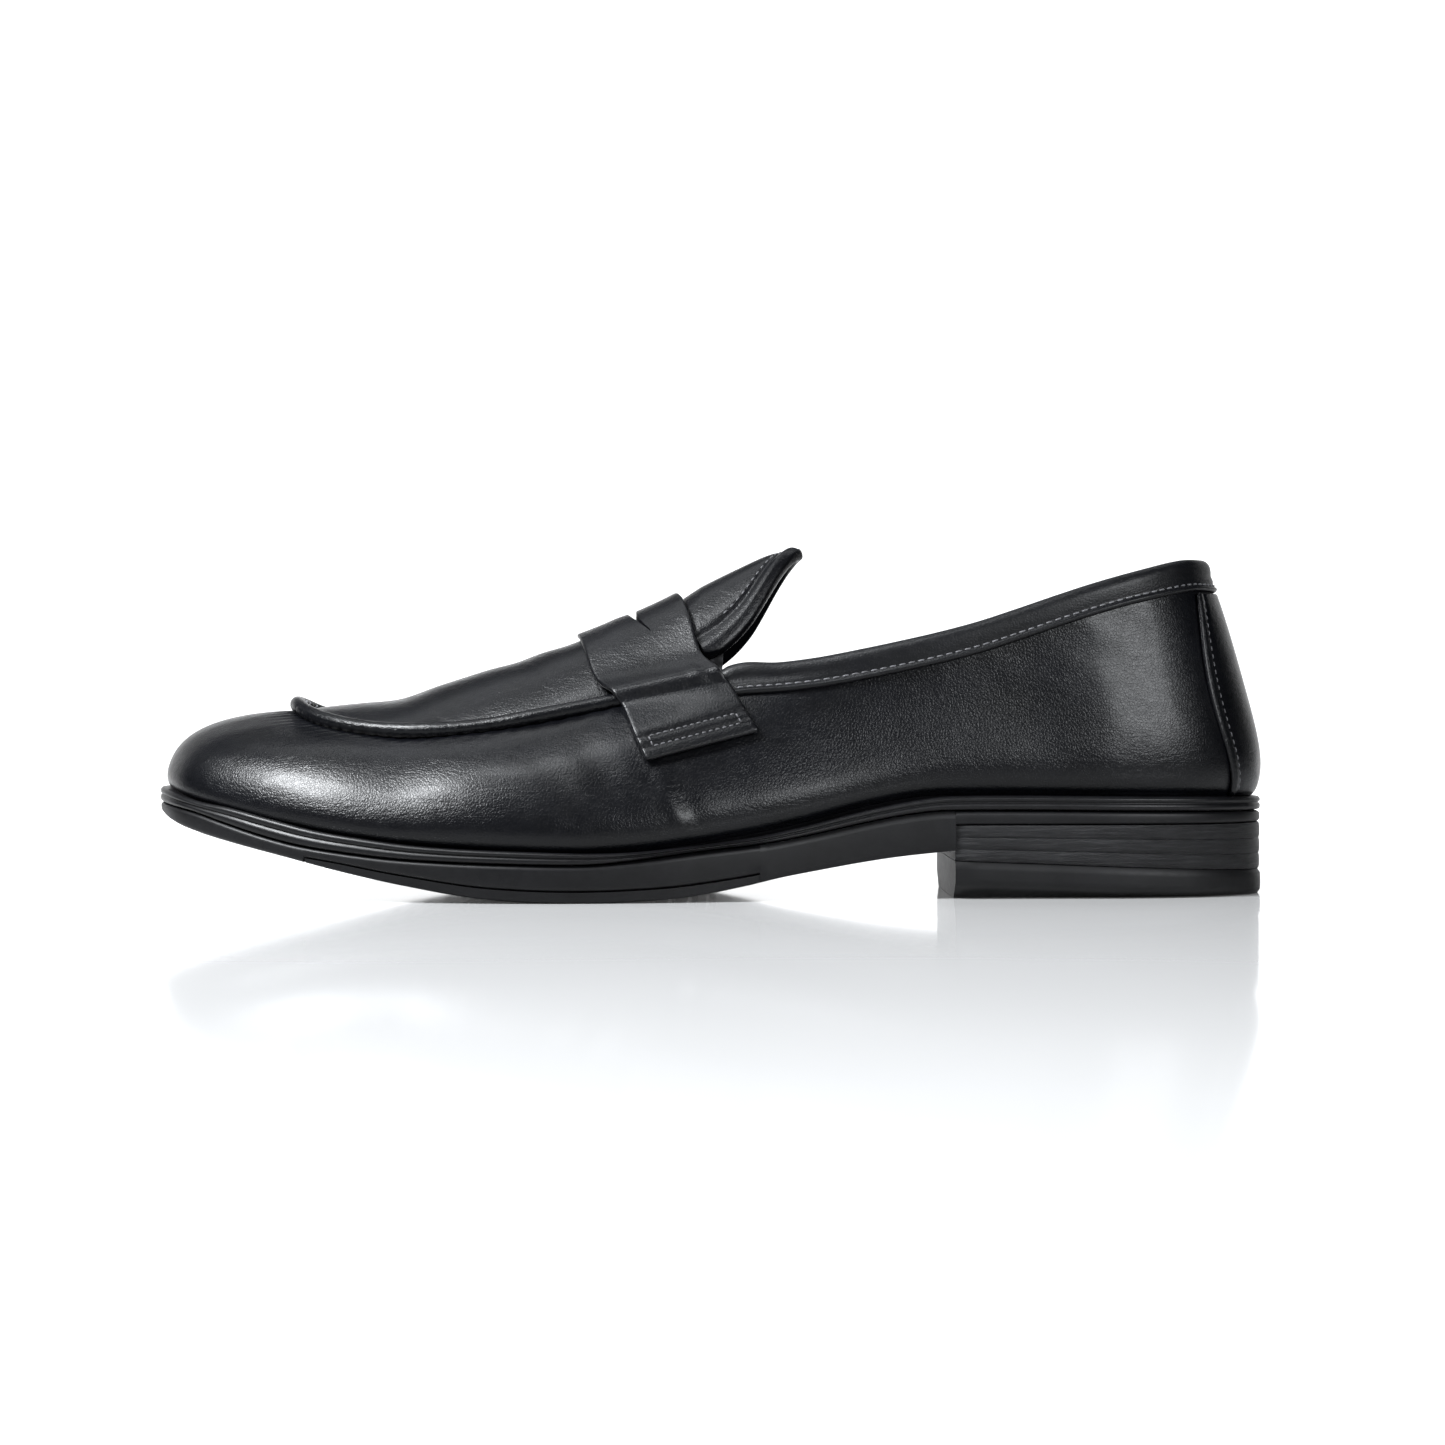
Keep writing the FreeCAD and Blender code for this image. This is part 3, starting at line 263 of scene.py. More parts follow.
def soft_bump(value, centre, width):
    return np.exp(-((value - centre) / width) ** 2)


def wobble(x, y, z, scale, seed=0.0):
    """Smooth unevenness from a few crossed waves, between about -1 and 1."""
    p = seed * 1.7
    a = np.sin((x * 0.9 + z * 0.5) / scale + p) * np.sin((y * 1.1 - z * 0.4) / scale + 2.1 * p + 0.7)
    b = np.sin((x * 0.37 - y * 0.61 + z * 0.9) / scale * 1.7 + 3.3 * p) * 0.6
    return (a + b) / 1.6


def wobble_at(points, scale, seed):
    return wobble(points[..., 0], points[..., 1], points[..., 2], scale, seed)


def lengths_along(points):
    """Running length at each point of a line."""
    return np.concatenate([[0], np.cumsum(np.linalg.norm(np.diff(points, axis=0), axis=1))])


def points_at(places, lengths, points):
    """Points of a line at given running lengths."""
    return np.stack([np.interp(places, lengths, points[:, k]) for k in range(3)], axis=-1)


# ---------------------------------------------------------------- meshes

def new_object(name, verts, faces, smooth=True):
    mesh = bpy.data.meshes.new(name)
    corners = [tuple(v) for v in np.asarray(verts) * MM]
    mesh.from_pydata(corners, [], [tuple(int(i) for i in face) for face in faces])
    mesh.validate()
    mesh.update()
    obj = bpy.data.objects.new(name, mesh)
    bpy.context.scene.collection.objects.link(obj)
    bm = bmesh.new()
    bm.from_mesh(mesh)
    bmesh.ops.remove_doubles(bm, verts=bm.verts, dist=1e-6)
    bmesh.ops.recalc_face_normals(bm, faces=bm.faces)
    bm.to_mesh(mesh)
    bm.free()
    for polygon in mesh.polygons:
        polygon.use_smooth = smooth
    return obj


def sharpen(obj, degrees=40):
    """Splits the shading where faces meet at more than this angle."""
    bm = bmesh.new()
    bm.from_mesh(obj.data)
    limit = math.radians(degrees)
    for edge in bm.edges:
        if len(edge.link_faces) == 2 and edge.calc_face_angle(0.0) > limit:
            edge.smooth = False
    bm.to_mesh(obj.data)
    bm.free()
    return obj


def ring_faces(count, sides, base=0, joined=False):
    """Quads between neighbouring rings of points; joined closes the last ring onto the first."""
    faces = []
    for i in range(count if joined else count - 1):
        one = base + i * sides
        other = base + (i + 1) % count * sides
        for j in range(sides):
            k = (j + 1) % sides
            faces.append((one + j, one + k, other + k, other + j))
    return faces


def ring_solid(name, rings, joined=False):
    """A solid through rings of points, capped at both ends unless it is joined."""
    count, sides = rings.shape[:2]
    faces = ring_faces(count, sides, joined=joined)
    if not joined:
        faces.append(tuple(range(sides)))
        faces.append(tuple((count - 1) * sides + j for j in range(sides)))
    return new_object(name, rings.reshape(-1, 3), faces)


def pillow(name, outer, inner, rim=3, roundness=1.0):
    """A closed sheet between two grids of points, with rounded edges."""
    rows, cols = outer.shape[:2]
    verts = [outer.reshape(-1, 3), inner.reshape(-1, 3)]
    count = rows * cols

    def at(i, j):
        return i * cols + j

    faces = []
    for i in range(rows - 1):
        for j in range(cols - 1):
            a, b, c, d = at(i, j), at(i + 1, j), at(i + 1, j + 1), at(i, j + 1)
            faces.append((a, b, c, d))
            faces.append((count + a, count + d, count + c, count + b))
    loop = ([(0, j) for j in range(cols)] + [(i, cols - 1) for i in range(1, rows)]
            + [(rows - 1, j) for j in range(cols - 2, -1, -1)] + [(i, 0) for i in range(rows - 2, 0, -1)])
    inside = [(min(max(i, 1), rows - 2), min(max(j, 1), cols - 2)) for i, j in loop]
    border_o = np.array([outer[i, j] for i, j in loop])
    border_i = np.array([inner[i, j] for i, j in loop])
    middle = (border_o + border_i) / 2
    within = np.array([(outer[i, j] + inner[i, j]) / 2 for i, j in inside])
    across = border_o - border_i
    thick = np.linalg.norm(across, axis=1, keepdims=True)
    outward = middle - within
    lean = np.sum(outward * across, axis=1, keepdims=True) / np.maximum(thick ** 2, 1e-9)
    outward = unit(outward - across * lean)
    start = 2 * count
    rings = []
    for k in range(1, rim + 1):
        angle = math.pi / 2 - math.pi * k / (rim + 1)
        ring = middle + across / 2 * math.sin(angle) + outward * thick / 2 * math.cos(angle) * roundness
        verts.append(ring)
        rings.append([start + (k - 1) * len(loop) + n for n in range(len(loop))])
    chain = [[at(i, j) for i, j in loop]] + rings + [[count + at(i, j) for i, j in loop]]
    for one, other in zip(chain, chain[1:]):
        for n in range(len(loop)):
            m = (n + 1) % len(loop)
            faces.append((one[n], one[m], other[m], other[n]))
    return new_object(name, np.concatenate(verts), faces)


def tube(name, centres, radii, normals):
    """A cord along centres; radii is (centres, sides); normals fix its roll."""
    along = unit(np.gradient(centres, axis=0))
    normals = unit(normals - along * np.sum(normals * along, axis=1, keepdims=True))
    side = np.cross(along, normals)
    count, sides = radii.shape
    angles = np.arange(sides) * 2 * math.pi / sides
    rings = (centres[:, None] + normals[:, None] * (radii * np.cos(angles))[..., None]
             + side[:, None] * (radii * np.sin(angles))[..., None])
    verts = list(rings.reshape(-1, 3))
    faces = ring_faces(count, sides)
    for i, way_out in ((0, -0.6), (count - 1, 0.6)):
        verts.append(centres[i] + along[i] * way_out * radii[i].mean())
        for j in range(sides):
            faces.append((i * sides + j, i * sides + (j + 1) % sides, len(verts) - 1))
    return new_object(name, verts, faces)


def resample(points, normals, pitch):
    """Evenly spaced places along a line, with the heading and the normal at each."""
    lengths = lengths_along(points)
    count = max(int(lengths[-1] / pitch), 2)
    places = (np.arange(count) + 0.5) * lengths[-1] / count
    step = pitch * 0.2
    heading = points_at(places + step, lengths, points) - points_at(places - step, lengths, points)
    return points_at(places, lengths, points), unit(heading), unit(points_at(places, lengths, normals))


def stitch_row(name, lines, pitch=2.6, length=2.0, radius=0.26, slant=0.0, height=0.12, sink=0.25):
    """Short thread arcs along seams; lines is a list of (points, normals)."""
    verts, faces = [], []
    steps_along = np.linspace(-1, 1, 7)
    sides = 6
    angles = np.arange(sides) * 2 * math.pi / sides
    for points, normals in lines:
        places, heading, up = resample(points, normals, pitch)
        side = np.cross(up, heading)
        turned = heading * math.cos(slant) + side * math.sin(slant)
        beside = np.cross(up, turned)
        for p, t, u, s in zip(places, turned, up, beside):
            base = len(verts)
            for a in steps_along:
                centre = p + t * (a * length / 2) + u * (height - (height + sink) * abs(a) ** 2.5)
                r = radius * (1 - 0.45 * abs(a) ** 3)
                for angle in angles:
                    verts.append(centre + (u * math.cos(angle) + s * math.sin(angle)) * r)
            faces += ring_faces(len(steps_along), sides, base)
            faces.append(tuple(base + j for j in range(sides)))
            faces.append(tuple(base + (len(steps_along) - 1) * sides + j for j in range(sides)))
    return new_object(name, verts, faces)


def smooth_path(points, count):
    """Evenly spaced points on a smooth line through the given ones."""
    points = np.asarray(points, float)
    lengths = np.concatenate([[0], np.cumsum(np.sqrt(np.linalg.norm(np.diff(points, axis=0), axis=1)))])
    fine = np.linspace(0, lengths[-1], count * 6)
    curve = np.stack([Smooth(list(zip(lengths, points[:, k])))(fine) for k in range(3)], axis=1)
    true = lengths_along(curve)
    return points_at(np.linspace(0, true[-1], count), true, curve)


# ---------------------------------------------------------------- materials

class Nodes:
    """A short way to write shader node trees."""

    def __init__(self, name, **shader):
        self.material = bpy.data.materials.new(name)
        self.material.use_nodes = True
        self.tree = self.material.node_tree
        self.shader = self.tree.nodes["Principled BSDF"]
        for key, value in shader.items():
            self.shader.inputs[key.replace("_", " ")].default_value = value
        self.place = self.tree.nodes.new("ShaderNodeTexCoord").outputs["Object"]

    def link(self, source, target):
        self.tree.links.new(source, target)

    def mapped(self, scale=(1, 1, 1), turn=(0, 0, 0)):
        node = self.tree.nodes.new("ShaderNodeMapping")
        node.inputs["Scale"].default_value = scale
        node.inputs["Rotation"].default_value = turn
        self.link(self.place, node.inputs["Vector"])
        return node.outputs["Vector"]

    def noise(self, scale, detail=4.0, rough=0.55, vector=None, distortion=0.0):
        node = self.tree.nodes.new("ShaderNodeTexNoise")
        node.inputs["Scale"].default_value = scale
        node.inputs["Detail"].default_value = detail
        node.inputs["Roughness"].default_value = rough
        node.inputs["Distortion"].default_value = distortion
        self.link(vector or self.place, node.inputs["Vector"])
        return node.outputs["Fac"]

    def cells(self, scale):
        node = self.tree.nodes.new("ShaderNodeTexVoronoi")
        node.feature = "DISTANCE_TO_EDGE"
        node.inputs["Scale"].default_value = scale
        self.link(self.place, node.inputs["Vector"])
        return node.outputs["Distance"]

    def wave(self, scale, direction):
        node = self.tree.nodes.new("ShaderNodeTexWave")
        node.bands_direction = direction
        node.inputs["Scale"].default_value = scale
        node.inputs["Distortion"].default_value = 0.0
        node.inputs["Detail"].default_value = 1.0
        self.link(self.place, node.inputs["Vector"])
        return node.outputs["Fac"]

    def ramp(self, value, stops):
        node = self.tree.nodes.new("ShaderNodeValToRGB")
        elements = node.color_ramp.elements
        while len(elements) < len(stops):
            elements.new(0.5)
        for element, (place, shade) in zip(elements, stops):
            element.position = place
            element.color = (*shade, 1.0) if isinstance(shade, tuple) else (shade, shade, shade, 1.0)
        self.link(value, node.inputs["Fac"])
        return node.outputs["Color"]

    def product(self, a, b):
        node = self.tree.nodes.new("ShaderNodeMath")
        node.operation = "MULTIPLY"
        self.link(a, node.inputs[0])
        self.link(b, node.inputs[1])
        return node.outputs["Value"]

    def span(self, value, low, high):
        node = self.tree.nodes.new("ShaderNodeMapRange")
        node.inputs["To Min"].default_value = low
        node.inputs["To Max"].default_value = high
        self.link(value, node.inputs["Value"])
        return node.outputs["Result"]

    def colour(self, value, stops):
        self.link(self.ramp(value, stops), self.shader.inputs["Base Color"])

    def roughness(self, value, low, high):
        self.link(self.span(value, low, high), self.shader.inputs["Roughness"])

    def bump(self, layers):
        """layers: (height socket, strength, depth in metres), the coarsest first."""
        below = None
        for height, strength, depth in layers:
            node = self.tree.nodes.new("ShaderNodeBump")
            node.inputs["Strength"].default_value = strength
            node.inputs["Distance"].default_value = depth
            self.link(height, node.inputs["Height"])
            if below is not None:
                self.link(below, node.inputs["Normal"])
            below = node.outputs["Normal"]
        self.link(below, self.shader.inputs["Normal"])


def leather(name, dark, light, rough_low, rough_high, grain=1.0, coat=0.06, coat_rough=0.18):
    """Polished grained leather with fine diagonal creases."""
    m = Nodes(name, Coat_Weight=coat, Coat_Roughness=coat_rough, Specular_IOR_Level=0.17)
    tone = m.noise(55, 5, 0.6)
    m.colour(tone, [(0.3, dark), (0.72, light)])
    m.roughness(m.noise(240, 4, 0.65), rough_low, rough_high)
    creases = m.noise(190, 4, 0.6, m.mapped((1.0, 0.9, 3.6), (0.3, 0.75, 0.2)), 1.2)
    pebble = m.ramp(m.cells(1250), [(0.0, 0.0), (0.22, 0.75), (0.6, 1.0)])
    m.bump([(m.noise(60, 2), 0.25 * grain, 0.0006), (creases, 0.35 * grain, 0.00035),
            (pebble, 0.4 * grain, 0.00009), (m.noise(2600, 3), 0.25 * grain, 0.00008)])
    return m.material


def rubber(name, dark, light, low, high):
    m = Nodes(name, Specular_IOR_Level=0.19)
    m.colour(m.noise(90, 4), [(0.3, dark), (0.75, light)])
    m.roughness(m.noise(500, 4), low, high)
    m.bump([(m.noise(160, 3), 0.2, 0.0003), (m.noise(3200, 3), 0.35, 0.00008)])
    return m.material


def stacked(name):
    """Dark stained heel layers, with long fine grain lines."""
    m = Nodes(name, Specular_IOR_Level=0.19)
    lines = m.noise(420, 6, 0.75, m.mapped((0.25, 0.25, 4.0)))
    m.colour(lines, [(0.45, (0.0025, 0.0025, 0.003)), (0.62, (0.011, 0.011, 0.012)),
                     (0.78, (0.03, 0.03, 0.032))])
    m.roughness(lines, 0.3, 0.6)
    m.bump([(lines, 0.8, 0.0005), (m.noise(2400, 3), 0.3, 0.00008)])
    return m.material


def plain(name, dark, light, low, high, scale, depth, **shader):
    """Simple materials for the pieces inside: mottled colour, roughness and bump."""
    m = Nodes(name, **shader)
    m.colour(m.noise(scale, 5, 0.6), [(0.3, dark), (0.72, light)])
    m.roughness(m.noise(scale * 3, 4), low, high)
    m.bump([(m.noise(scale, 4), 0.5, depth), (m.cells(scale * 5), 0.3, depth * 0.3)])
    return m.material


def woven(name, dark, light, pitch):
    m = Nodes(name, Sheen_Weight=0.3, Specular_IOR_Level=0.2)
    both = m.product(m.wave(1 / pitch / 6.28, "X"), m.wave(1 / pitch / 6.28, "Z"))
    m.colour(both, [(0.1, dark), (0.9, light)])
    m.roughness(m.noise(700, 3), 0.75, 0.95)
    m.bump([(both, 0.6, 0.0003), (m.noise(2500, 3), 0.3, 0.0001)])
    return m.material


def metal(name, tone, low, high):
    m = Nodes(name, Metallic=1.0)
    m.colour(m.noise(300, 3), [(0.3, tuple(c * 0.8 for c in tone)), (0.7, tone)])
    lines = m.noise(400, 4, 0.6, m.mapped((0.1, 1, 1)))
    m.roughness(lines, low, high)
    m.bump([(lines, 0.2, 0.00005)])
    return m.material


BLACK = (0.0006, 0.0007, 0.0011)
BLACK_WORN = (0.0017, 0.0019, 0.0028)
LEATHER = leather("polished_leather", BLACK, BLACK_WORN, 0.25, 0.38)
STRAP_LEATHER = leather("strap_leather", BLACK, BLACK_WORN, 0.28, 0.44, 1.1)
COLLAR_LEATHER = leather("collar_leather", BLACK, BLACK_WORN, 0.32, 0.5, 1.0, 0.07, 0.3)
TONGUE_LEATHER = leather("tongue_leather", BLACK, BLACK_WORN, 0.28, 0.42, 1.1)
LINING = leather("lining_leather", (0.006, 0.006, 0.006), (0.014, 0.0138, 0.0135), 0.5, 0.7, 0.8, 0.0, 0.5)
THREAD = plain("black_thread", (0.02, 0.02, 0.022), (0.07, 0.07, 0.078), 0.42, 0.6, 900, 0.0001,
               Sheen_Weight=0.2)
WELT_RUBBER = rubber("welt_rubber", (0.0014, 0.0014, 0.0017), (0.0035, 0.0035, 0.0042), 0.3, 0.46)
SOLE_RUBBER = rubber("outsole_rubber", (0.0015, 0.0015, 0.0018), (0.0036, 0.0036, 0.0043), 0.36, 0.54)
HEEL_RUBBER = rubber("heel_rubber", (0.0015, 0.0015, 0.0018), (0.0038, 0.0038, 0.0044), 0.42, 0.6)
STACKED = stacked("stacked_heel")
INSIDE = {
    "nail_steel": metal("nail_steel", (0.62, 0.62, 0.64), 0.25, 0.4),
    "shank_steel": metal("shank_steel", (0.5, 0.51, 0.53), 0.3, 0.5),
    "cork": plain("cork", (0.2, 0.11, 0.05), (0.5, 0.33, 0.18), 0.75, 0.9, 700, 0.0004),
    "fibre_board": plain("fibre_board", (0.32, 0.24, 0.15), (0.52, 0.42, 0.29), 0.7, 0.85, 500, 0.0002),
    "foam": plain("foam", (0.6, 0.57, 0.46), (0.78, 0.75, 0.64), 0.85, 0.95, 1200, 0.0003),
    "stiffener": plain("stiffener", (0.45, 0.41, 0.34), (0.64, 0.6, 0.51), 0.6, 0.8, 400, 0.0002),
    "suede": plain("suede", (0.016, 0.0155, 0.015), (0.045, 0.043, 0.041), 0.85, 0.98, 1100, 0.0003,
                   Sheen_Weight=0.5),
    "lining_fabric": woven("lining_fabric", (0.02, 0.02, 0.021), (0.06, 0.06, 0.062), 0.0008),
    "elastic": woven("elastic", (0.008, 0.008, 0.009), (0.03, 0.03, 0.033), 0.0012),
}
CAD_MATERIALS = {
    "heel_nails": "nail_steel", "shank_rivets": "nail_steel", "shank": "shank_steel", "cork_filler": "cork",
    "insole_board": "fibre_board", "heel_pad": "foam", "toe_puff": "stiffener", "heel_counter": "stiffener",
    "collar_padding": "foam", "apron_lining": "lining_fabric",
}


def finish_piece(obj, material, body=SHOE, replaces=()):
    """Gives a piece its material and its body, and hides the CAD nodes it stands for."""
    obj.data.materials.clear()
    obj.data.materials.append(material)
    if body:
        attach(obj, body)
    if replaces:
        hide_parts(*replaces)


def dress_cad_nodes():
    for node, key in CAD_MATERIALS.items():
        obj = NODES[node]
        if not obj.material_slots:
            obj.data.materials.append(INSIDE[key])
        for place in obj.material_slots:
            place.material = INSIDE[key]


# ---------------------------------------------------------------- bottom unit

def cross_section(way, pairs, across, floor_z=None):
    """Points round the sole at one way: down the lateral side, across, up the medial side and back.

    pairs are (inset, z) from top to bottom; floor_z, if given, is the height of the underside's middle."""
    left = np.array([sole_point(-way, inset)[:2].tolist() + [z] for inset, z in pairs])
    right = np.array([sole_point(way, inset)[:2].tolist() + [z] for inset, z in pairs])
    shares = np.linspace(0, 1, across)[1:-1, None]
    low = left[-1] + (right[-1] - left[-1]) * shares
    if floor_z is not None:
        low[:, 2] = floor_z
    high = right[0] + (left[0] - right[0]) * shares
    return np.concatenate([left, low, right[::-1], high])


def crowded(start, end, count):
    """Places from start to end, closer together near both ends."""
    return start + (end - start) * (1 - np.cos(np.linspace(0, math.pi, count))) / 2


def tread_top(x):
    return SOLE_BOTTOM(x) + TREAD_THICK * np.clip(TREAD_SHARE(x), 0, 1)


def rounded_side(z_top, z_low, bow=0.5, corner=0.7):
    """(inset, z) pairs down a slightly bowed side wall with softened corners."""
    pairs = []
    for a in np.linspace(0, 1, 11):
        z = z_top + (z_low - z_top) * a
        from_end = min(a, 1 - a) * abs(z_top - z_low)
        corner_in = corner * max(1 - from_end / corner, 0.0) ** 2
        pairs.append((0.35 - bow * 4 * a * (1 - a) * 0.35 + corner_in, z))
    return pairs


def build_outsole():
    def fore(way):
        x = float(sole_x(way))
        low = float(tread_top(x)) if TREAD_FROM < x < TREAD_TO else float(SOLE_BOTTOM(x))
        return rounded_side(float(SOLE_TOP(x)) - 0.25, low)

    breast = float(way_of(BREAST_X, sole_x))
    notch = float(way_of(TREAD_TO, sole_x))
    start = float(way_of(TREAD_FROM, sole_x))
    ways = np.concatenate([crowded(0.004, start, 24), np.linspace(start + 1e-3, notch - 1e-4, 44),
                           np.linspace(notch + 1e-4, breast, 26)])
    rings = [cross_section(way, fore(way), 9) for way in ways]

    def rear(way):
        return rounded_side(float(SOLE_TOP(float(sole_x(way)))) - 0.25, HEEL_TOP_Z + 0.15, 0.6, 0.6)

    rings += [cross_section(way, rear(way), 9) for way in crowded(breast + 1e-4, 0.996, 40)]
    obj = ring_solid("outsole_unit", np.array(rings))
    finish_piece(sharpen(obj, 50), SOLE_RUBBER, replaces=["outsole"])


def build_tread():
    """Wearing plate with cross grooves and a worn, slightly rounded rim."""
    groove_from, groove_to = -92.0, 8.0
    pitch, middle, wide, deep = 5.0, -49.0, 1.8, 1.1

    def bottom(x, y_share):
        z = float(SOLE_BOTTOM(x))
        if groove_from < x < groove_to and y_share < 0.74:
            phase = (x - middle) % pitch
            phase = min(phase, pitch - phase)
            z += deep * float(np.clip((wide / 2 + 0.25 - phase) / 0.5, 0, 1))
        return z

    starts = [TREAD_FROM + 0.5]
    x = groove_from
    while x < groove_to:
        centre = middle + pitch * round((x - middle) / pitch)
        starts += [centre + off for off in (-1.3, -0.85, -0.4, 0.4, 0.85, 1.3)]
        x += pitch
    xs = sorted(set([v for v in starts if TREAD_FROM < v < TREAD_TO] + [TREAD_TO - 0.1, -98.0, 11.0]))
    rings = []
    shares = [-1, -0.97, -0.9, -0.76, -0.72, -0.45, -0.15, 0.15, 0.45, 0.72, 0.76, 0.9, 0.97, 1]
    for x in xs:
        way = float(way_of(x, sole_x))
        left = sole_point(-way, 0.45)
        right = sole_point(way, 0.45)
        top_z = float(tread_top(x)) - 0.12
        ring = []
        for share in shares:
            a = (share + 1) / 2
            p = left + (right - left) * a
            edge = max(abs(share) - 0.97, 0) / 0.03
            low_z = bottom(x, abs(share)) + 0.45 * edge
            inset = 0.25 * edge * np.sign(share)
            ring.append([p[0], p[1] - inset, min(low_z, top_z - 0.2)])
        ring.append([right[0], right[1], top_z])
        ring.append([left[0], left[1], top_z])
        rings.append(ring)
    obj = ring_solid("tread_plate_worn", np.array(rings, float))
    finish_piece(sharpen(obj, 35), SOLE_RUBBER, replaces=["tread_plate"])


def build_welt():
    """Storm welt: a sloping ledge, a bead, a groove, a second bead."""
    ways = np.linspace(-1, 1, 361)[:-1]
    rings = []
    for way in ways:
        x = float(sole_x(way))
        top, edge, low = float(WELT_TOP(x)), float(WELT_EDGE(x)), float(SOLE_TOP(x))
        height = edge - low
        groove = edge - height * 0.43
        profile = [
            (8.0, top - 0.9), (LEDGE + 1.2, top - 0.15), (LEDGE + 0.1, top - 0.3),
            (LEDGE - 0.35, top - 0.45), (1.9, edge - 0.1), (1.2, edge + 0.15), (0.55, edge + 0.05),
            (0.15, edge - 0.35),
            (0.0, edge - height * 0.2), (0.1, groove + 0.35), (0.5, groove + 0.12), (0.55, groove - 0.08),
            (0.15, groove - 0.35), (0.0, groove - height * 0.25), (0.08, low + 0.55), (0.35, low + 0.22),
            (0.95, low + 0.08), (8.0, low + 0.08)]
        rings.append([sole_point(way, inset)[:2].tolist() + [z] for inset, z in profile])
    obj = ring_solid("storm_welt", np.array(rings), joined=True)
    finish_piece(obj, WELT_RUBBER, replaces=["welt"])


# Known fault: this crown under the heel is not on the real shoe, whose heel face is flat and pitched. It is
# a dark body put where there is only shade under the heel's lifted front, and it only darkens the band
# under the edge.
# The value below is its height above the floor.
SHADE_CROWN_Z = 0.05


def heel_line(share):
    """Height against x of the line between heel layers, at a share of the way down."""
    front = HEEL_TOP_Z - 9.1 * share
    rear = HEEL_TOP_Z - 12.5 * share
    return lambda x: front + (rear - front) * (x - BREAST_X) / (HALF - BREAST_X)


def heel_floor(x):
    return heel_line(1.0)(x) - 6.7


def heel_block(name, top, bottom, inset, bow, corner, tread_z=None):
    """One heel layer: a D-shaped slab with softened edges; tread_z sinks its middle to the ground, as a
    dark crown put in the shade under the heel.
    """
    start = float(way_of(BREAST_X, sole_x))
    rings = []
    for way in start + np.linspace(0.0, 1.0, 46) * (0.9965 - start):
        x = float(sole_x(way))
        pairs = []
        for a in np.linspace(0, 1, 7):
            z = top(x) + (bottom(x) - top(x)) * a
            from_end = min(a, 1 - a) * abs(top(x) - bottom(x))
            soft = corner * max(1 - from_end / corner, 0.0) ** 2
            front = 0.8 * max(1 - (x - BREAST_X) / 1.6, 0.0) ** 2
            pairs.append((inset + soft - bow * 4 * a * (1 - a) + front, z))
        rings.append(cross_section(way, pairs, 13, tread_z))
    return sharpen(ring_solid(name, np.array(rings)), 50)


def build_heel():
    names = ["upper", "middle", "lower"]
    for i, name in enumerate(names):
        top, bottom = heel_line(i / 3.0), heel_line((i + 1) / 3.0)
        block = heel_block("heel_layer_" + name, lambda x: top(x) - 0.03, lambda x: bottom(x) + 0.03,
                           0.25 + 0.04 * i, 0.08, 0.16)
        finish_piece(block, STACKED, replaces=["heel_lift_" + name])
    top = heel_line(1.0)
    # The tread's crowned underside is a dark body standing in for the shade under the heel's lifted front.
    block = heel_block("heel_tread", lambda x: top(x) - 0.15, heel_floor, 0.12, 0.15, 0.6, SHADE_CROWN_Z)
    finish_piece(block, HEEL_RUBBER, replaces=["heel_top_piece"])


# ---------------------------------------------------------------- upper

UPPER_THICK = 1.6
APRON_THICK = 1.4
SEAM = 0.9985
CREASE = Smooth([(14, -4.0), (19, -5.9), (26, -9.3), (36, -13.6), (44, -17.5)])


def wall_detail(way, up, point):
    """How far the leather stands out of the plain last: folds, creases, pulled seams."""
    x, y, z = point[..., 0], point[..., 1], point[..., 2]
    height = z - WELT_TOP(x)
    lateral = np.asarray(way) < 0
    tuck = -0.35 * np.exp(-height / 0.6)
    run = x - CREASE(z)
    ridge = 0.55 * (np.exp(-(run / 1.7) ** 2) - 0.45 * soft_bump(run, 4.2, 2.6))
    ridge *= np.clip((38 - z) / 10, 0, 1)
    ridge *= np.clip((height - 1.0) / 4.0, 0, 1)
    dip = -0.9 * soft_bump(x, -79.0, 11.0) * soft_bump(z, 36.0, 9.0)
    swell = 0.7 * soft_bump(x, -56.0, 17.0) * soft_bump(z, 31.0, 10.0)
    waves = 0.16 * wobble(x, y, z, 6.5, 1.0) + 0.3 * wobble(x, y, z, 17.0, 2.0)
    waves *= np.clip(height / 5.0, 0, 1)
    flex = 0.18 * np.sin((x * 0.8 + z * 0.55) / 1.9) * soft_bump(x, -28.0, 16.0) * soft_bump(z, 30, 10)
    pull = 0.14 * np.cos(2 * np.pi * np.asarray(way) * 62) * np.clip((up - 0.8) / 0.2, 0, 1) ** 2
    pull *= side_of(way) < 0.44
    quarter = 0.1 * np.sin((z * 0.9 + x * 0.55) / 2.3) * wobble(x, y, z, 9.0, 4.0)
    quarter *= soft_bump(x, 104.0, 30.0)
    return tuck + np.where(lateral, 1.0, 0.8) * (ridge + dip + swell) + waves + flex + pull + quarter


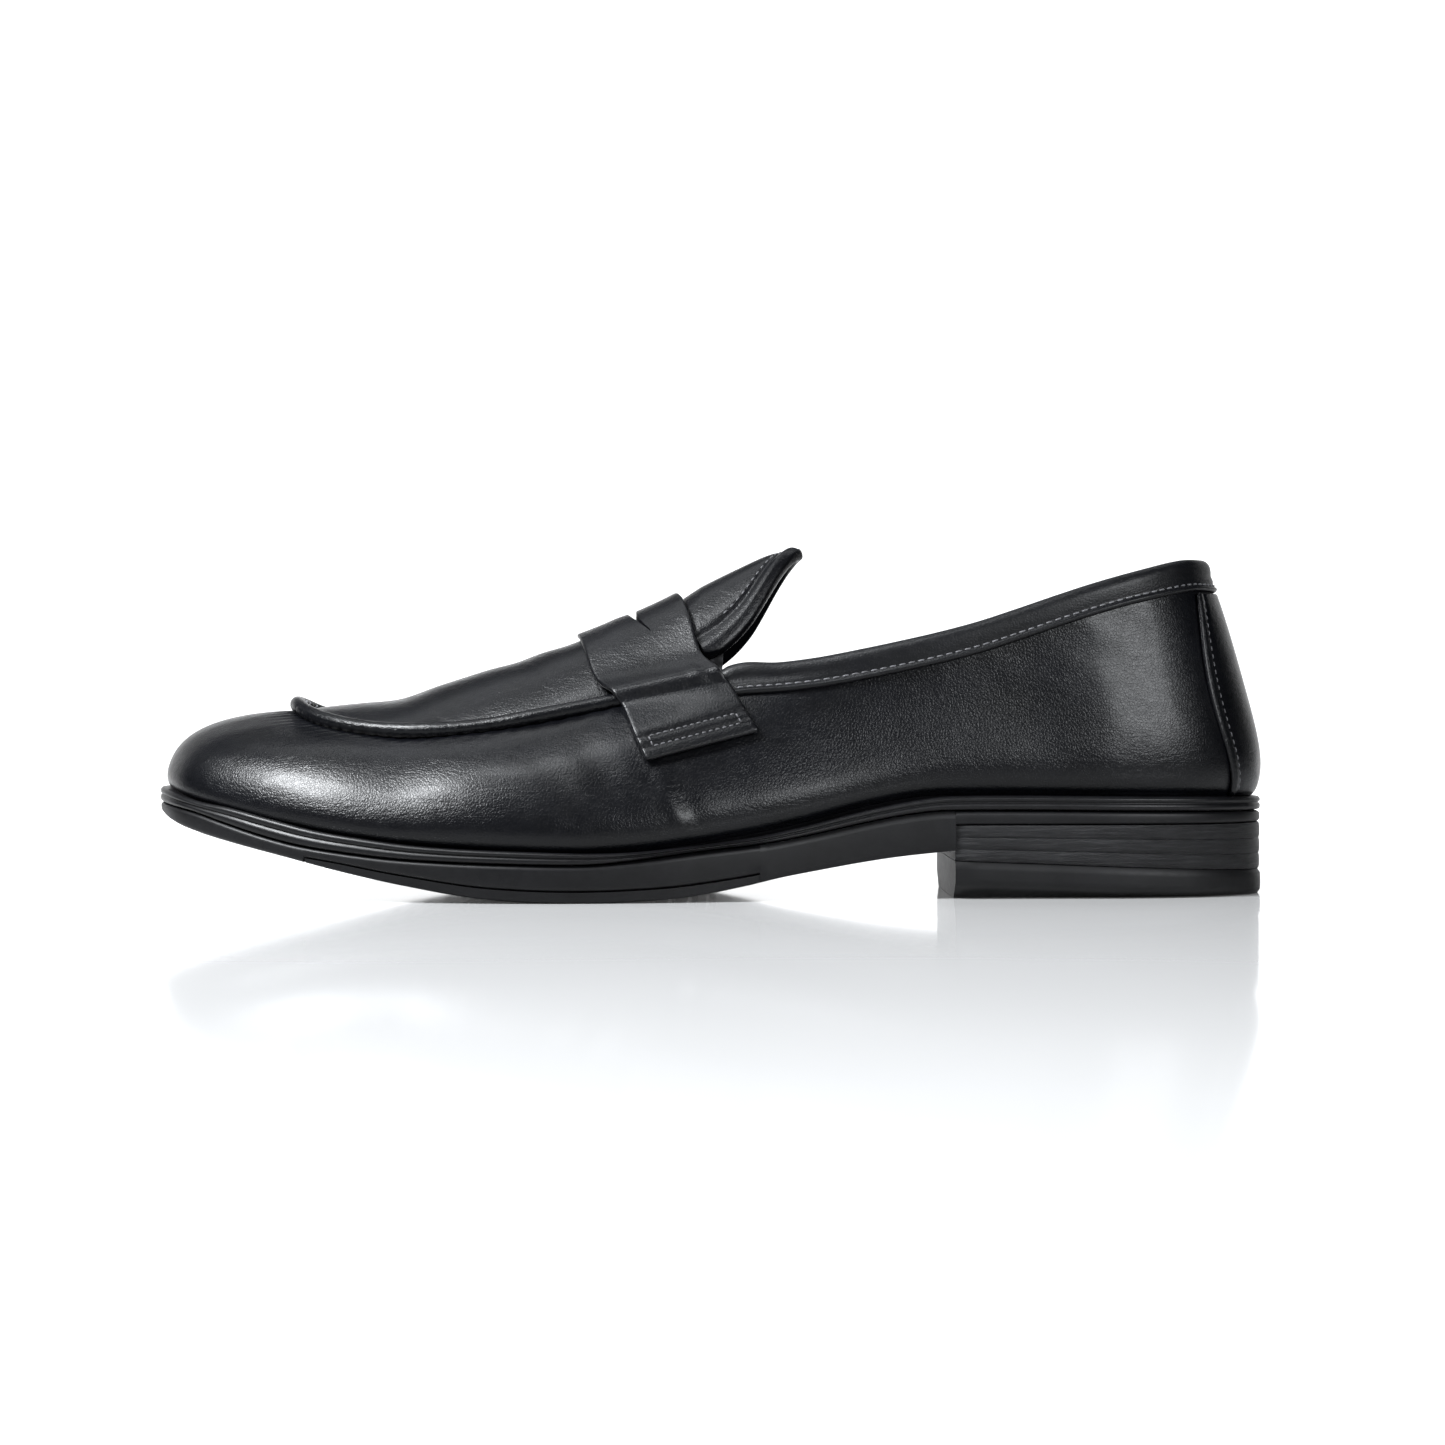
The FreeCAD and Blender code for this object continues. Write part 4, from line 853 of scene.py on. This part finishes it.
def build_side_wall():
    ways = np.linspace(-SEAM, SEAM, 560)
    ups = np.concatenate([[0.0, 0.006, 0.014, 0.025, 0.04], np.linspace(0.06, 0.97, 46), [0.985, 1.0]])
    way, up = np.meshgrid(ways, ups, indexing="ij")
    base = wall_point(way, up)
    normal = wall_normal(way, up)
    detail = wall_detail(way, up, base)
    outer = base + normal * detail[..., None]
    inner = base + normal * (np.minimum(detail, 0) - UPPER_THICK)[..., None]
    outer[:, 0, 2] -= 0.9
    inner[:, 0, 2] -= 0.9
    inwards = sole_inwards(ways)
    turn = [(0.9, 0.35), (1.9, 0.55)]
    flange = [base[:, -1] + inwards * across + np.array([0, 0, rise]) for across, rise in turn]
    flange = np.stack(flange, axis=1)
    outer = np.concatenate([outer, flange], axis=1)
    inner = np.concatenate([inner, flange - inwards[:, None] * 0.1 - np.array([0, 0, UPPER_THICK])], axis=1)
    obj = pillow("side_wall_leather", outer, inner, 3, 0.8)
    finish_piece(obj, LEATHER, replaces=["side_wall"])


def near_end(side):
    """1 over the toe puff and the heel counter, 0 between them, with soft steps."""
    share = np.maximum(np.clip((0.36 - side) / 0.07, 0, 1), np.clip((side - 0.62) / 0.07, 0, 1))
    return share * share * (3 - 2 * share)


def build_side_lining():
    ways = np.linspace(-SEAM, SEAM, 260)
    ups = np.linspace(0.03, 0.985, 30)
    way, up = np.meshgrid(ways, ups, indexing="ij")
    depth = -1.72 - 1.32 * near_end(side_of(way))
    base = wall_point(way, up)
    normal = wall_normal(way, up)
    puff = 0.5 * soft_bump(up, 0.93, 0.06) * near_end(side_of(way))
    waves = 0.1 * wobble_at(base, 8.0, 5.0)
    obj = pillow("foot_lining", base + normal * depth[..., None],
                 base + normal * (depth - 0.9 - puff + waves)[..., None], 2)
    finish_piece(obj, LINING, replaces=["side_lining"])


def build_heel_grip():
    outer, inner = [], []
    for a in np.linspace(-1, 1, 41):
        ups = np.linspace(0.12, 0.93, 30)
        ways = 1.0 + 0.16 * a * (0.82 + 0.18 * np.sin(np.pi * (ups - 0.12) / 0.81))
        outer.append(wall_skin(ways, ups, np.full(30, -4.2)))
        inner.append(wall_skin(ways, ups, np.full(30, -4.95)))
    obj = pillow("heel_grip_suede", np.array(outer), np.array(inner), 2)
    finish_piece(obj, INSIDE["suede"], replaces=["heel_grip"])


def build_sock():
    """Sock lining that dips slightly under the foot."""
    inside = LEDGE + 1.6 + 1.2 + 0.9 + 0.48 + 0.5 + 0.5
    board, pad = 2.4, 3.0
    lift = Smooth([(50, 0.0), (62, 0.75), (78, pad + 0.1), (100, pad + 0.1), (150, pad + 0.1)])
    rings = []
    for way in crowded(0.006, 0.994, 90):
        left, right = sole_point(-way, inside), sole_point(way, inside)
        row_low, row_high = [], []
        for a in np.linspace(0, 1, 17):
            p = left + (right - left) * a
            x = float(p[0])
            low = float(WELT_TOP(x)) + board + 0.12 + (max(float(lift(x)), 0.0) if x > 50 else 0.0)
            edge = 1 - abs(2 * a - 1) ** 6
            dent = 0.35 * float(soft_bump(x, 100, 26) + soft_bump(x, -45, 34)) * (1 - (2 * a - 1) ** 2)
            row_low.append([x, p[1], low])
            row_high.append([x, p[1], low + 0.7 + 0.5 * edge - dent])
        rings.append(np.array(row_low + row_high[::-1]))
    obj = ring_solid("sock_lining_leather", np.array(rings))
    finish_piece(obj, LINING, replaces=["sock_lining"])


def lip_frame(x_limit, count, inset, rise):
    """Points beside the upper's edge round the toe as far back as x_limit, and the inward direction."""
    reach = float(way_of(x_limit, edge_x))
    ways = np.linspace(-reach, reach, count)
    edge = wall_point(ways, np.ones(count))
    step = 0.003
    along = wall_point(ways + step, np.ones(count)) - wall_point(ways - step, np.ones(count))
    along[:, 2] = 0
    along = unit(along)
    inwards = xyz(along[:, 1], -along[:, 0], 0.0)
    return edge + inwards * inset + np.array([0, 0, rise]), inwards


LIP_END = -14.5
LIP_PITCH = 3.9


def build_lip():
    """The rolled apron seam, puckered by its hand stitches."""
    count = 620
    centres, inwards = lip_frame(LIP_END, count, LIP_RADIUS * 0.55, LIP_RADIUS * 0.82)
    phase = lengths_along(centres) / LIP_PITCH * 2 * np.pi
    sides = 20
    angles = np.arange(sides) * 2 * np.pi / sides
    normals = unit(xyz(0.0, 0.0, 1.0) * np.ones((count, 1)) - inwards * 0.15)
    inner_side = np.clip(np.cos(angles - math.pi * 0.75), 0, 1)
    outer_low = np.clip(np.cos(angles + math.pi * 0.72), 0, 1)
    pucker = -0.34 * np.clip(np.cos(phase), 0, 1)[:, None] ** 2 * inner_side[None, :]
    wave = -0.12 * np.clip(np.cos(phase + 0.8), 0, 1)[:, None] ** 2 * outer_low[None, :]
    grow = 0.05 * wobble_at(centres, 5.0, 3.0)[:, None]
    radii = LIP_RADIUS * (1.0 + grow) + pucker + wave
    obj = tube("apron_lip_roll", centres, radii, normals)
    finish_piece(obj, LEATHER, replaces=["apron_lip"])
    seam = centres + inwards * (LIP_RADIUS * 0.93) + np.array([0, 0, 0.45])
    facing = unit(inwards * 0.65 + np.array([0, 0, 1.0]))
    rows = stitch_row("apron_hand_stitches", [(seam, facing)], LIP_PITCH, 3.1, 0.3, 0.62, 0.28, 0.35)
    finish_piece(rows, THREAD)


def build_apron():
    """The plug: gently crowned, drawn down into its seam."""
    count = 181
    inset = 2 * LIP_RADIUS * 0.55 + LIP_RADIUS * 0.45
    rim, _ = lip_frame(-13.8, count, inset, 0.0)
    half = count // 2
    lateral = rim[:half + 1][::-1]
    medial = rim[half:]
    rows = 61
    shares = 0.5 - 0.5 * np.cos(np.pi * np.linspace(0, 1, rows))
    outer = lateral[:, None] + (medial - lateral)[:, None] * shares[None, :, None]
    x, y = outer[..., 0], outer[..., 1]
    from_rim = np.minimum(np.linalg.norm(outer[..., :2] - lateral[:, None, :2], axis=-1),
                          np.linalg.norm(outer[..., :2] - medial[:, None, :2], axis=-1))
    from_rim = np.minimum(from_rim, np.abs(x - rim[half][0]) + 0.01)
    drawn = -0.75 * np.exp(-from_rim / 1.0)
    crown = 0.25 * (1 - np.exp(-from_rim / 5.0))
    waves = 0.12 * wobble(x, y, 0 * x, 7.0, 6.0) + 0.2 * wobble(x, y, 0 * x, 15.0, 8.0)
    bend = 0.22 * np.sin(x / 2.6 + 0.12 * y) * soft_bump(x, -46.0, 13.0) * soft_bump(y, 0, 22.0)
    detail = drawn + crown + (waves + bend) * (1 - np.exp(-from_rim / 3.0))
    normal = top_normal(x, y)
    base = xyz(x, y, top_height(x, y))
    obj = pillow("apron_plug", base + normal * detail[..., None],
                 base + normal * (drawn - APRON_THICK)[..., None], 2)
    finish_piece(obj, LEATHER, replaces=["apron"])


STRAP_FRONT = Smooth([(0.0, -34.5), (0.25, -32.6), (0.5, -28.5), (0.75, -22.5), (1.0, -15.4)])
STRAP_REAR = Smooth([
    (0.0, -8.0), (0.25, -5.8), (0.5, -1.8), (0.68, 2.6), (0.79, 5.6), (0.9, 9.2), (1.0, 12.6)])
STRAP_HEM = Smooth([(-17.0, 35.6), (12.6, 43.4), (20.0, 45.4)])
STRAP_LIFT = 0.65
BELOW_RIM = 0.21
STRAP_THICK = 1.5
HEM_ROWS = (2.9, 6.1)


def wall_at_height(x, z, side, offset):
    """Point of the side wall at x and z on one side, found step by step."""
    way = float(way_of(x, sole_x))
    up = 0.7
    for _ in range(14):
        p = wall_point(side * way, up)
        by_way = wall_point(side * (way + 0.003), up) - p
        above = min(up + 0.003, 1.0)
        by_up = wall_point(side * way, above) - wall_point(side * way, above - 0.003)
        grid = np.array([[by_way[0], by_up[0]], [by_way[2], by_up[2]]]) / 0.003
        step = np.linalg.solve(grid, np.array([x - p[0], z - p[2]]))
        way = float(np.clip(way + np.clip(step[0], -0.05, 0.05), 0.1, 0.9))
        up = float(np.clip(up + np.clip(step[1], -0.2, 0.2), 0.02, 0.999))
    return wall_skin(np.array(side * way), np.array(up), np.array(offset))


def strap_section(along, lift, count):
    """One line over the instep, hem to hem; along is 0 at the strap's front edge and 1 at its rear."""
    shares = [1.0, 0.9, 0.79, 0.68, 0.5, 0.34, 0.17]
    halves = {}
    for side in (-1, 1):
        row = []
        for share in shares:
            x = float(STRAP_FRONT(share) * (1 - along) + STRAP_REAR(share) * along)
            wide, centre = (float(v) for v in half_width(x))
            rim, hem = float(UPPER_EDGE_Z(x)), float(STRAP_HEM(x))
            if share > 0.69:
                climb = (1 - share) / BELOW_RIM
                base = wall_at_height(x, hem + (rim - 1.6 - hem) * climb, side, lift + 0.9 * climb)
            elif share > 0.6:
                base = np.array([x, centre + side * (wide + 0.9), rim + 3.1])
                base = base + np.array([0, side * 0.8, 0.6]) * lift
            else:
                reach = (wide - 1.5) * share / 0.62
                base = top_skin(x, centre + side * reach, lift + 1.3 * (share / 0.62) ** 2)
            row.append(base)
        halves[side] = row
    x = float(STRAP_FRONT(0.0) * (1 - along) + STRAP_REAR(0.0) * along)
    middle = top_skin(x, float(half_width(x)[1]), lift)
    return smooth_path(halves[-1] + [middle] + halves[1][::-1], count)


STRAP_ACROSS = 241
STRAP_ALONG = 57


def strap_grid(lift):
    sections = np.array([strap_section(a, lift, STRAP_ACROSS) for a in np.linspace(0, 1, 9)])
    fine = np.linspace(0, 1, STRAP_ALONG)
    places = np.linspace(0, 1, 9)
    out = np.zeros((STRAP_ALONG, STRAP_ACROSS, 3))
    for j in range(STRAP_ACROSS):
        for k in range(3):
            out[:, j, k] = Smooth(list(zip(places, sections[:, j, k])))(fine)
    return out


def grid_normals(grid):
    a = np.gradient(grid, axis=0)
    b = np.gradient(grid, axis=1)
    return unit(np.cross(b, a))


def build_strap():
    base = strap_grid(STRAP_LIFT)
    normal = grid_normals(base)
    if normal[STRAP_ALONG // 2, STRAP_ACROSS // 2, 2] < 0:
        normal = -normal
    along = np.linspace(0, 1, STRAP_ALONG)[:, None] * np.ones((1, STRAP_ACROSS))
    across = np.linspace(-1, 1, STRAP_ACROSS)[None, :] * np.ones((STRAP_ALONG, 1))
    x, y, z = base[..., 0], base[..., 1], base[..., 2]
    slot_lift = 0.3 * soft_bump(x, -24.0, 3.6) * soft_bump(y, 0, 12)
    rise = z - UPPER_EDGE_Z(x)
    ridge = 0.5 * soft_bump(rise, 3.3, 1.3) * (np.abs(y - 0.5) > 18)
    wrinkle = 0.16 * np.sin((x + z * 0.9) / 1.25) * soft_bump(across, -0.64, 0.1)
    wrinkle *= soft_bump(along, 0.85, 0.16)
    waves = 0.07 * wobble(x, y, z, 5.0, 9.0) + 0.14 * wobble(x, y, z, 12.0, 10.0)
    climbed = np.array([lengths_along(row) for row in base])
    hem = np.minimum(climbed, climbed[:, -1:] - climbed)
    seam = sum(-0.3 * soft_bump(hem, reach, 0.7) for reach in HEM_ROWS)
    detail = slot_lift + ridge + wrinkle + waves + seam
    outer = base + normal * (STRAP_THICK + detail)[..., None]
    inner = base + normal * np.clip(detail, 0, 0.5)[..., None]
    obj = pillow("saddle_strap_leather", outer, inner, 3, 0.8)
    cut_slot(obj)
    finish_piece(obj, STRAP_LEATHER, replaces=["saddle_strap"])
    lines = []
    for flip in (False, True):
        skin = outer[:, ::-1] if flip else outer
        facing = normal[:, ::-1] if flip else normal
        first, last = 5, STRAP_ALONG - 6
        for reach in HEM_ROWS:
            lines.append(row_along_hem(skin, facing, range(first, last + 1), reach))
        for i in (first, last):
            ends = [row_along_hem(skin, facing, [i], reach) for reach in np.linspace(*HEM_ROWS, 8)]
            lines.append((np.concatenate([p for p, _ in ends]), np.concatenate([n for _, n in ends])))
    rows = stitch_row("strap_stitches", lines, 1.75, 1.3, 0.2, 0.0, 0.06, 0.2)
    finish_piece(rows, THREAD)


def row_along_hem(skin, facing, rows, reach):
    """Points and normals at a given distance in mm up from the strap's hem."""
    points, normals = [], []
    for i in rows:
        climbed = lengths_along(skin[i])
        points.append(points_at(reach, climbed, skin[i]))
        normals.append(points_at(reach, climbed, facing[i]))
    return np.array(points), np.array(normals)


def cut_slot(obj):
    """Opens the coin slot: a lens-shaped cut over the instep, pulled open in the middle."""
    edge = []
    half = 17.5
    for y in np.linspace(-half, half, 41):
        bow = (y / half) ** 2
        edge.append((-21.6 + 6.5 * bow - 0.35 * (1 - bow), y))
    back = []
    for y in np.linspace(half, -half, 41)[1:-1]:
        bow = (y / half) ** 2
        back.append((-21.6 + 6.5 * bow + 2.2 * (1 - abs(y / half)) ** 1.6 + 0.35, y))
    ring = edge + back
    verts = [(x, y, 50.0) for x, y in ring] + [(x, y, 90.0) for x, y in ring]
    n = len(ring)
    faces = [tuple(range(n)), tuple(range(2 * n - 1, n - 1, -1))]
    faces += [(i, (i + 1) % n, n + (i + 1) % n, n + i) for i in range(n)]
    cutter = new_object("slot_cutter", np.array(verts), faces, False)
    modifier = obj.modifiers.new("slot", "BOOLEAN")
    modifier.operation = "DIFFERENCE"
    modifier.object = cutter
    modifier.solver = "EXACT"
    depsgraph = bpy.context.evaluated_depsgraph_get()
    mesh = bpy.data.meshes.new_from_object(obj.evaluated_get(depsgraph))
    obj.modifiers.clear()
    obj.data = mesh
    bpy.data.objects.remove(cutter)
    for polygon in obj.data.polygons:
        polygon.use_smooth = True
    sharpen(obj, 45)


TONGUE_HALF = Smooth([(-30.0, 24.6), (-10.0, 24.0), (0.3, 22.6), (6.6, 20.6), (11.7, 17.8), (16.0, 13.7),
                      (20.7, 7.6), (23.6, 2.5)])
TONGUE_TIP = 24.2
TONGUE_DROP = -0.3


def tongue_line(shrink, count, forward=False):
    """Plan points round the tongue's free edge, on request carried forward under the strap."""
    ways = [3.0, 6.0, 9.0, 12.0, 15.5, 18.5, 21.0, 22.8]
    if forward:
        ways = [-15.0, -9.0, -3.0] + ways
    side = [[x - shrink * 0.7, -(float(TONGUE_HALF(x)) - shrink), 0.0] for x in ways]
    other = [[p[0], -p[1], 0.0] for p in side[::-1]]
    return smooth_path(side + [[TONGUE_TIP - shrink, 0.0, 0.0]] + other, count)


def tongue_front(y, shrink):
    return STRAP_REAR(np.abs(y) / 31.0) - 4.2 + shrink * 0.2


def tongue_grid(shrink, rows, cols):
    """Grid from the hidden front edge to the free edge."""
    rim = tongue_line(shrink, cols)
    front_y = np.linspace(rim[0, 1] * 0.985, rim[-1, 1] * 0.985, cols)
    front = xyz(tongue_front(front_y, shrink), front_y, 0.0)
    shares = np.linspace(0, 1, rows)[:, None, None]
    return front[None] * (1 - shares) + rim[None] * shares


def build_tongue():
    rows, cols = 90, 181
    grid = tongue_grid(0.0, rows, cols)
    x, y = grid[..., 0], grid[..., 1]
    fine = tongue_line(0.0, 1400, forward=True)[:, :2]
    from_rim = [np.min(np.linalg.norm(row[:, None, :2] - fine[None], axis=-1), axis=1) for row in grid]
    from_rim = np.array(from_rim)
    roll = 0.45 * soft_bump(from_rim, 1.6, 1.2) - 0.5 * np.exp(-from_rim / 0.6)
    seam = -0.4 * soft_bump(from_rim, 4.0, 0.8)
    pad = 0.55 * (1 - np.exp(-np.maximum(from_rim - 4.0, 0) / 3.0))
    waves = 0.14 * wobble(x, y, 0 * x, 5.0, 11.0)
    hidden = np.clip((x + 7.0) / 5.0, 0, 1)
    detail = TONGUE_DROP + (roll + seam + pad + waves) * hidden
    base = xyz(x, y, top_height(x, y))
    normal = top_normal(x, y)
    outer = base + normal * detail[..., None]
    under = TONGUE_DROP - 3.5 - 0.35 * soft_bump(from_rim, 1.0, 1.2)
    obj = pillow("tongue_leather", outer, base + normal * under[..., None], 5, 0.55)
    finish_piece(obj, TONGUE_LEATHER, TONGUE, ["tongue", "tongue_padding"])
    path = tongue_line(4.2, 200)[14:-14]
    on = top_skin(path[:, 0], path[:, 1], np.full(len(path), TONGUE_DROP))
    facing = top_normal(path[:, 0], path[:, 1])
    rows = stitch_row("tongue_stitches", [(on, facing)], 2.5, 1.8, 0.22, 0.0, 0.02, 0.25)
    finish_piece(rows, THREAD, TONGUE)
    grid = tongue_grid(2.2, 30, 61)
    x, y = grid[..., 0], grid[..., 1]
    base = xyz(x, y, top_height(x, y))
    normal = top_normal(x, y)
    high = TONGUE_DROP - 3.2
    obj = pillow("tongue_lining_leather", base + normal * high, base + normal * (high - 0.95), 2, 0.8)
    finish_piece(obj, LINING, TONGUE, ["tongue_lining"])


def collar_up(way, drop):
    """up at a given drop in mm below the topline."""
    height = UPPER_EDGE_Z(edge_x(way)) - WELT_TOP(sole_x(way))
    return 1.0 - drop / height


def build_collar():
    """A leather band folded over the topline: bead and stitches outside, then down to the lining."""
    count = 460
    start = float(way_of(-1.0, edge_x))
    ways = np.linspace(start, 2 - start, count)
    edge = wall_point(ways, np.ones(count))
    under_strap = np.clip((edge[:, 0] + 1.5) / 8.0, 0, 1)
    fullness = 0.3 + 0.7 * under_strap * under_strap * (3 - 2 * under_strap)
    outwards = -sole_inwards(ways)
    out_now = wall_normal(ways, np.full(count, 0.97))
    back = np.clip((side_of(ways) - 0.8) / 0.15, 0, 1)
    low = -3.3 - 0.8 * back
    profile = [
        (0.2, -0.75), (0.85, -0.6), (1.35, -0.25), (1.35, 0.2), (1.05, 0.6), (0.78, 1.0), (0.85, 1.5),
        (1.05, 2.2)]
    roll = [
        (1.12, -0.2), (1.1, 0.9), (0.95, 1.9), (0.6, 2.8), (0.0, 3.5), (-0.8, 3.95), (-1.6, 3.95),
        (-2.4, 3.5), (-3.0, 2.6), (-3.3, 1.4), (-3.4, 0.0), (-3.45, -1.5), (-3.5, -3.0), (-2.9, -3.4),
        (-1.5, -3.2)]
    sag = 0.1 * wobble_at(edge, 6.0, 12.0)
    rings = []
    for out, up in profile:
        share = np.minimum(collar_up(ways, -low - up), 1.0)
        rings.append(wall_skin(ways, share, out * (0.25 + 0.75 * fullness) + sag * fullness))
    for out, up in roll:
        across = (out + sag * 0.5) * np.where(out > 0, fullness, 1.0)
        rise = up * (fullness if up > 0 else 1.0) * np.ones(count)
        rise += 0.8 * soft_bump(edge[:, 0], 10.0, 6.0) * (up > 0)
        rings.append(edge + outwards * across[:, None] + rise[:, None] * np.array([0, 0, 1.0]))
    rings = np.array(rings).transpose(1, 0, 2)
    obj = ring_solid("collar_band_leather", rings)
    finish_piece(obj, COLLAR_LEATHER, replaces=["collar_band", "collar_piping"])
    seam = rings[4:-4, 5]
    stitches = stitch_row("collar_stitches", [(seam, out_now[4:-4])], 2.5, 1.9, 0.26, 0.0, 0.12, 0.2)
    finish_piece(stitches, THREAD)


def strip_reach(up):
    return 0.115 + 0.03 * np.sin(np.pi * up) - 0.02 * up


def build_back_strip():
    across = np.linspace(-1, 1, 61)[:, None] * np.ones((1, 48))
    up = np.linspace(0.004, 0.905, 48)[None, :] * np.ones((61, 1))
    way = 1.0 + strip_reach(up) * across
    base = wall_point(way, up)
    normal = wall_normal(way, up)
    to_edge = (1 - np.abs(across)) * 26
    edge = 0.4 * soft_bump(to_edge, 1.0, 0.9) - 0.2 * soft_bump(to_edge, 3.0, 0.7)
    uneven = 0.12 * wobble_at(base, 7.0, 13.0)
    body = np.where(up < 0.06, wall_detail(way, up, base), uneven)
    outer = base + normal * (1.0 + edge + body)[..., None]
    inner = base + normal * np.minimum(0.12, body + 0.05)[..., None]
    obj = pillow("back_strip_leather", outer, inner, 3, 0.8)
    finish_piece(obj, LEATHER, replaces=["back_strip"])
    lines = [(outer[i, 1:-1], normal[i, 1:-1]) for i in (3, 57)]
    rows = stitch_row("back_strip_stitches", lines, 2.1, 1.6, 0.22, 0.0, 0.06, 0.25)
    finish_piece(rows, THREAD)


def build_gores():
    for side, name in ((-1, "lateral"), (1, "medial")):
        outer, inner = [], []
        for x in np.linspace(-9.0, 3.0, 24):
            wide, centre = (float(v) for v in half_width(x))
            rim = float(UPPER_EDGE_Z(x))
            low = np.array([x, centre + side * (wide - 4.6), rim - 5.0])
            high = top_skin(x, centre + side * (wide - 9.4), -5.8)
            row = []
            for a in np.linspace(0, 1, 17):
                row.append(low + (high - low) * a + np.array([0, side * 0.4 * math.sin(math.pi * a), 0])
                           + np.array([0, side * 0.12 * math.sin(x * 2 * math.pi / 1.3), 0]))
            outer.append(row)
            inner.append([p + np.array([0, -side * 0.7, -0.5]) for p in row])
        obj = pillow("gore_webbing_" + name, np.array(outer), np.array(inner), 2)
        finish_piece(obj, INSIDE["elastic"], None, ["elastic_gore_" + name])
        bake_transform(obj)


# ---------------------------------------------------------------- floor, light, camera

def stage_sheet(name, line, emission):
    """Part of the pale stage, swept sideways along a side profile of (y, z) points."""
    verts = [(x, y, z) for y, z in line for x in (-1700.0, 1700.0)]
    faces = [(2 * i, 2 * i + 1, 2 * i + 3, 2 * i + 2) for i in range(len(line) - 1)]
    sheet = new_object(name, np.array(verts), faces)
    m = Nodes(name + "_paint", Specular_IOR_Level=0.12, Emission_Color=(1.0, 1.0, 1.0, 1.0),
              Emission_Strength=emission)
    m.colour(m.noise(3), [(0.3, (0.4, 0.4, 0.4)), (0.7, (0.41, 0.41, 0.41))])
    m.roughness(m.noise(5), 0.06, 0.08)
    sheet.data.materials.append(m.material)


def build_stage():
    """A pale floor and behind it a lit sweep that curves up into a white backdrop."""
    edge, far, radius, tall = 400.0, 1500.0, 350.0, 760.0
    turn = np.linspace(0, math.pi / 2, 17)
    stage_sheet("floor", [(-1400.0, 0.0), (-300.0, 0.0), (edge, 0.0)], 0.04)
    line = [(edge, 0.0)]
    line += [(far - radius + radius * math.sin(a), radius - radius * math.cos(a)) for a in turn]
    stage_sheet("backdrop", line + [(far, tall)], 0.95)
    world = bpy.data.worlds.new("studio")
    world.use_nodes = True
    world.node_tree.nodes["Background"].inputs["Color"].default_value = (0.85, 0.93, 1.0, 1)
    world.node_tree.nodes["Background"].inputs["Strength"].default_value = 0.02
    bpy.context.scene.world = world
    bpy.context.scene.view_settings.view_transform = "Standard"


def area_light(name, place, target, size_x, size_y, power):
    light = bpy.data.lights.new(name, "AREA")
    light.shape = "RECTANGLE"
    light.size = size_x
    light.size_y = size_y
    light.energy = power
    light.color = (0.95, 0.975, 1.0)
    obj = bpy.data.objects.new(name, light)
    bpy.context.scene.collection.objects.link(obj)
    obj.location = place
    aim = np.array(target) - np.array(place)
    aim = aim / np.linalg.norm(aim)
    obj.rotation_euler = Vector(aim).to_track_quat("-Z", "Y").to_euler()


def build_lights():
    area_light("overhead_back", (0.0, 0.5, 1.2), (0, 0.1, 0.0), 1.4, 0.4, 4.5)
    area_light("overhead_front", (-0.2, -0.34, 1.2), (-0.06, 0, 0.03), 0.32, 0.22, 5.0)
    area_light("key_left", (-0.72, -0.4, 0.88), (-0.08, 0, 0.03), 0.42, 0.34, 52.0)
    area_light("fill_right", (0.66, -0.84, 0.44), (0.1, 0, 0.055), 0.5, 0.22, 11.0)


def build_camera():
    camera = bpy.data.cameras.new("camera")
    camera.sensor_width = 36.0
    camera.lens = 68.6
    camera.clip_start = 0.01
    obj = bpy.data.objects.new("camera", camera)
    bpy.context.scene.collection.objects.link(obj)
    obj.location = (0.00395, -0.750, 0.046)
    obj.rotation_euler = (math.pi / 2, 0, 0)
    bpy.context.scene.camera = obj


dress_cad_nodes()
build_outsole()
build_tread()
build_welt()
build_heel()
build_side_wall()
build_side_lining()
build_heel_grip()
build_sock()
build_lip()
build_apron()
build_strap()
build_tongue()
build_collar()
build_back_strip()
build_gores()
build_stage()
build_lights()
build_camera()

bpy.context.view_layer.update()
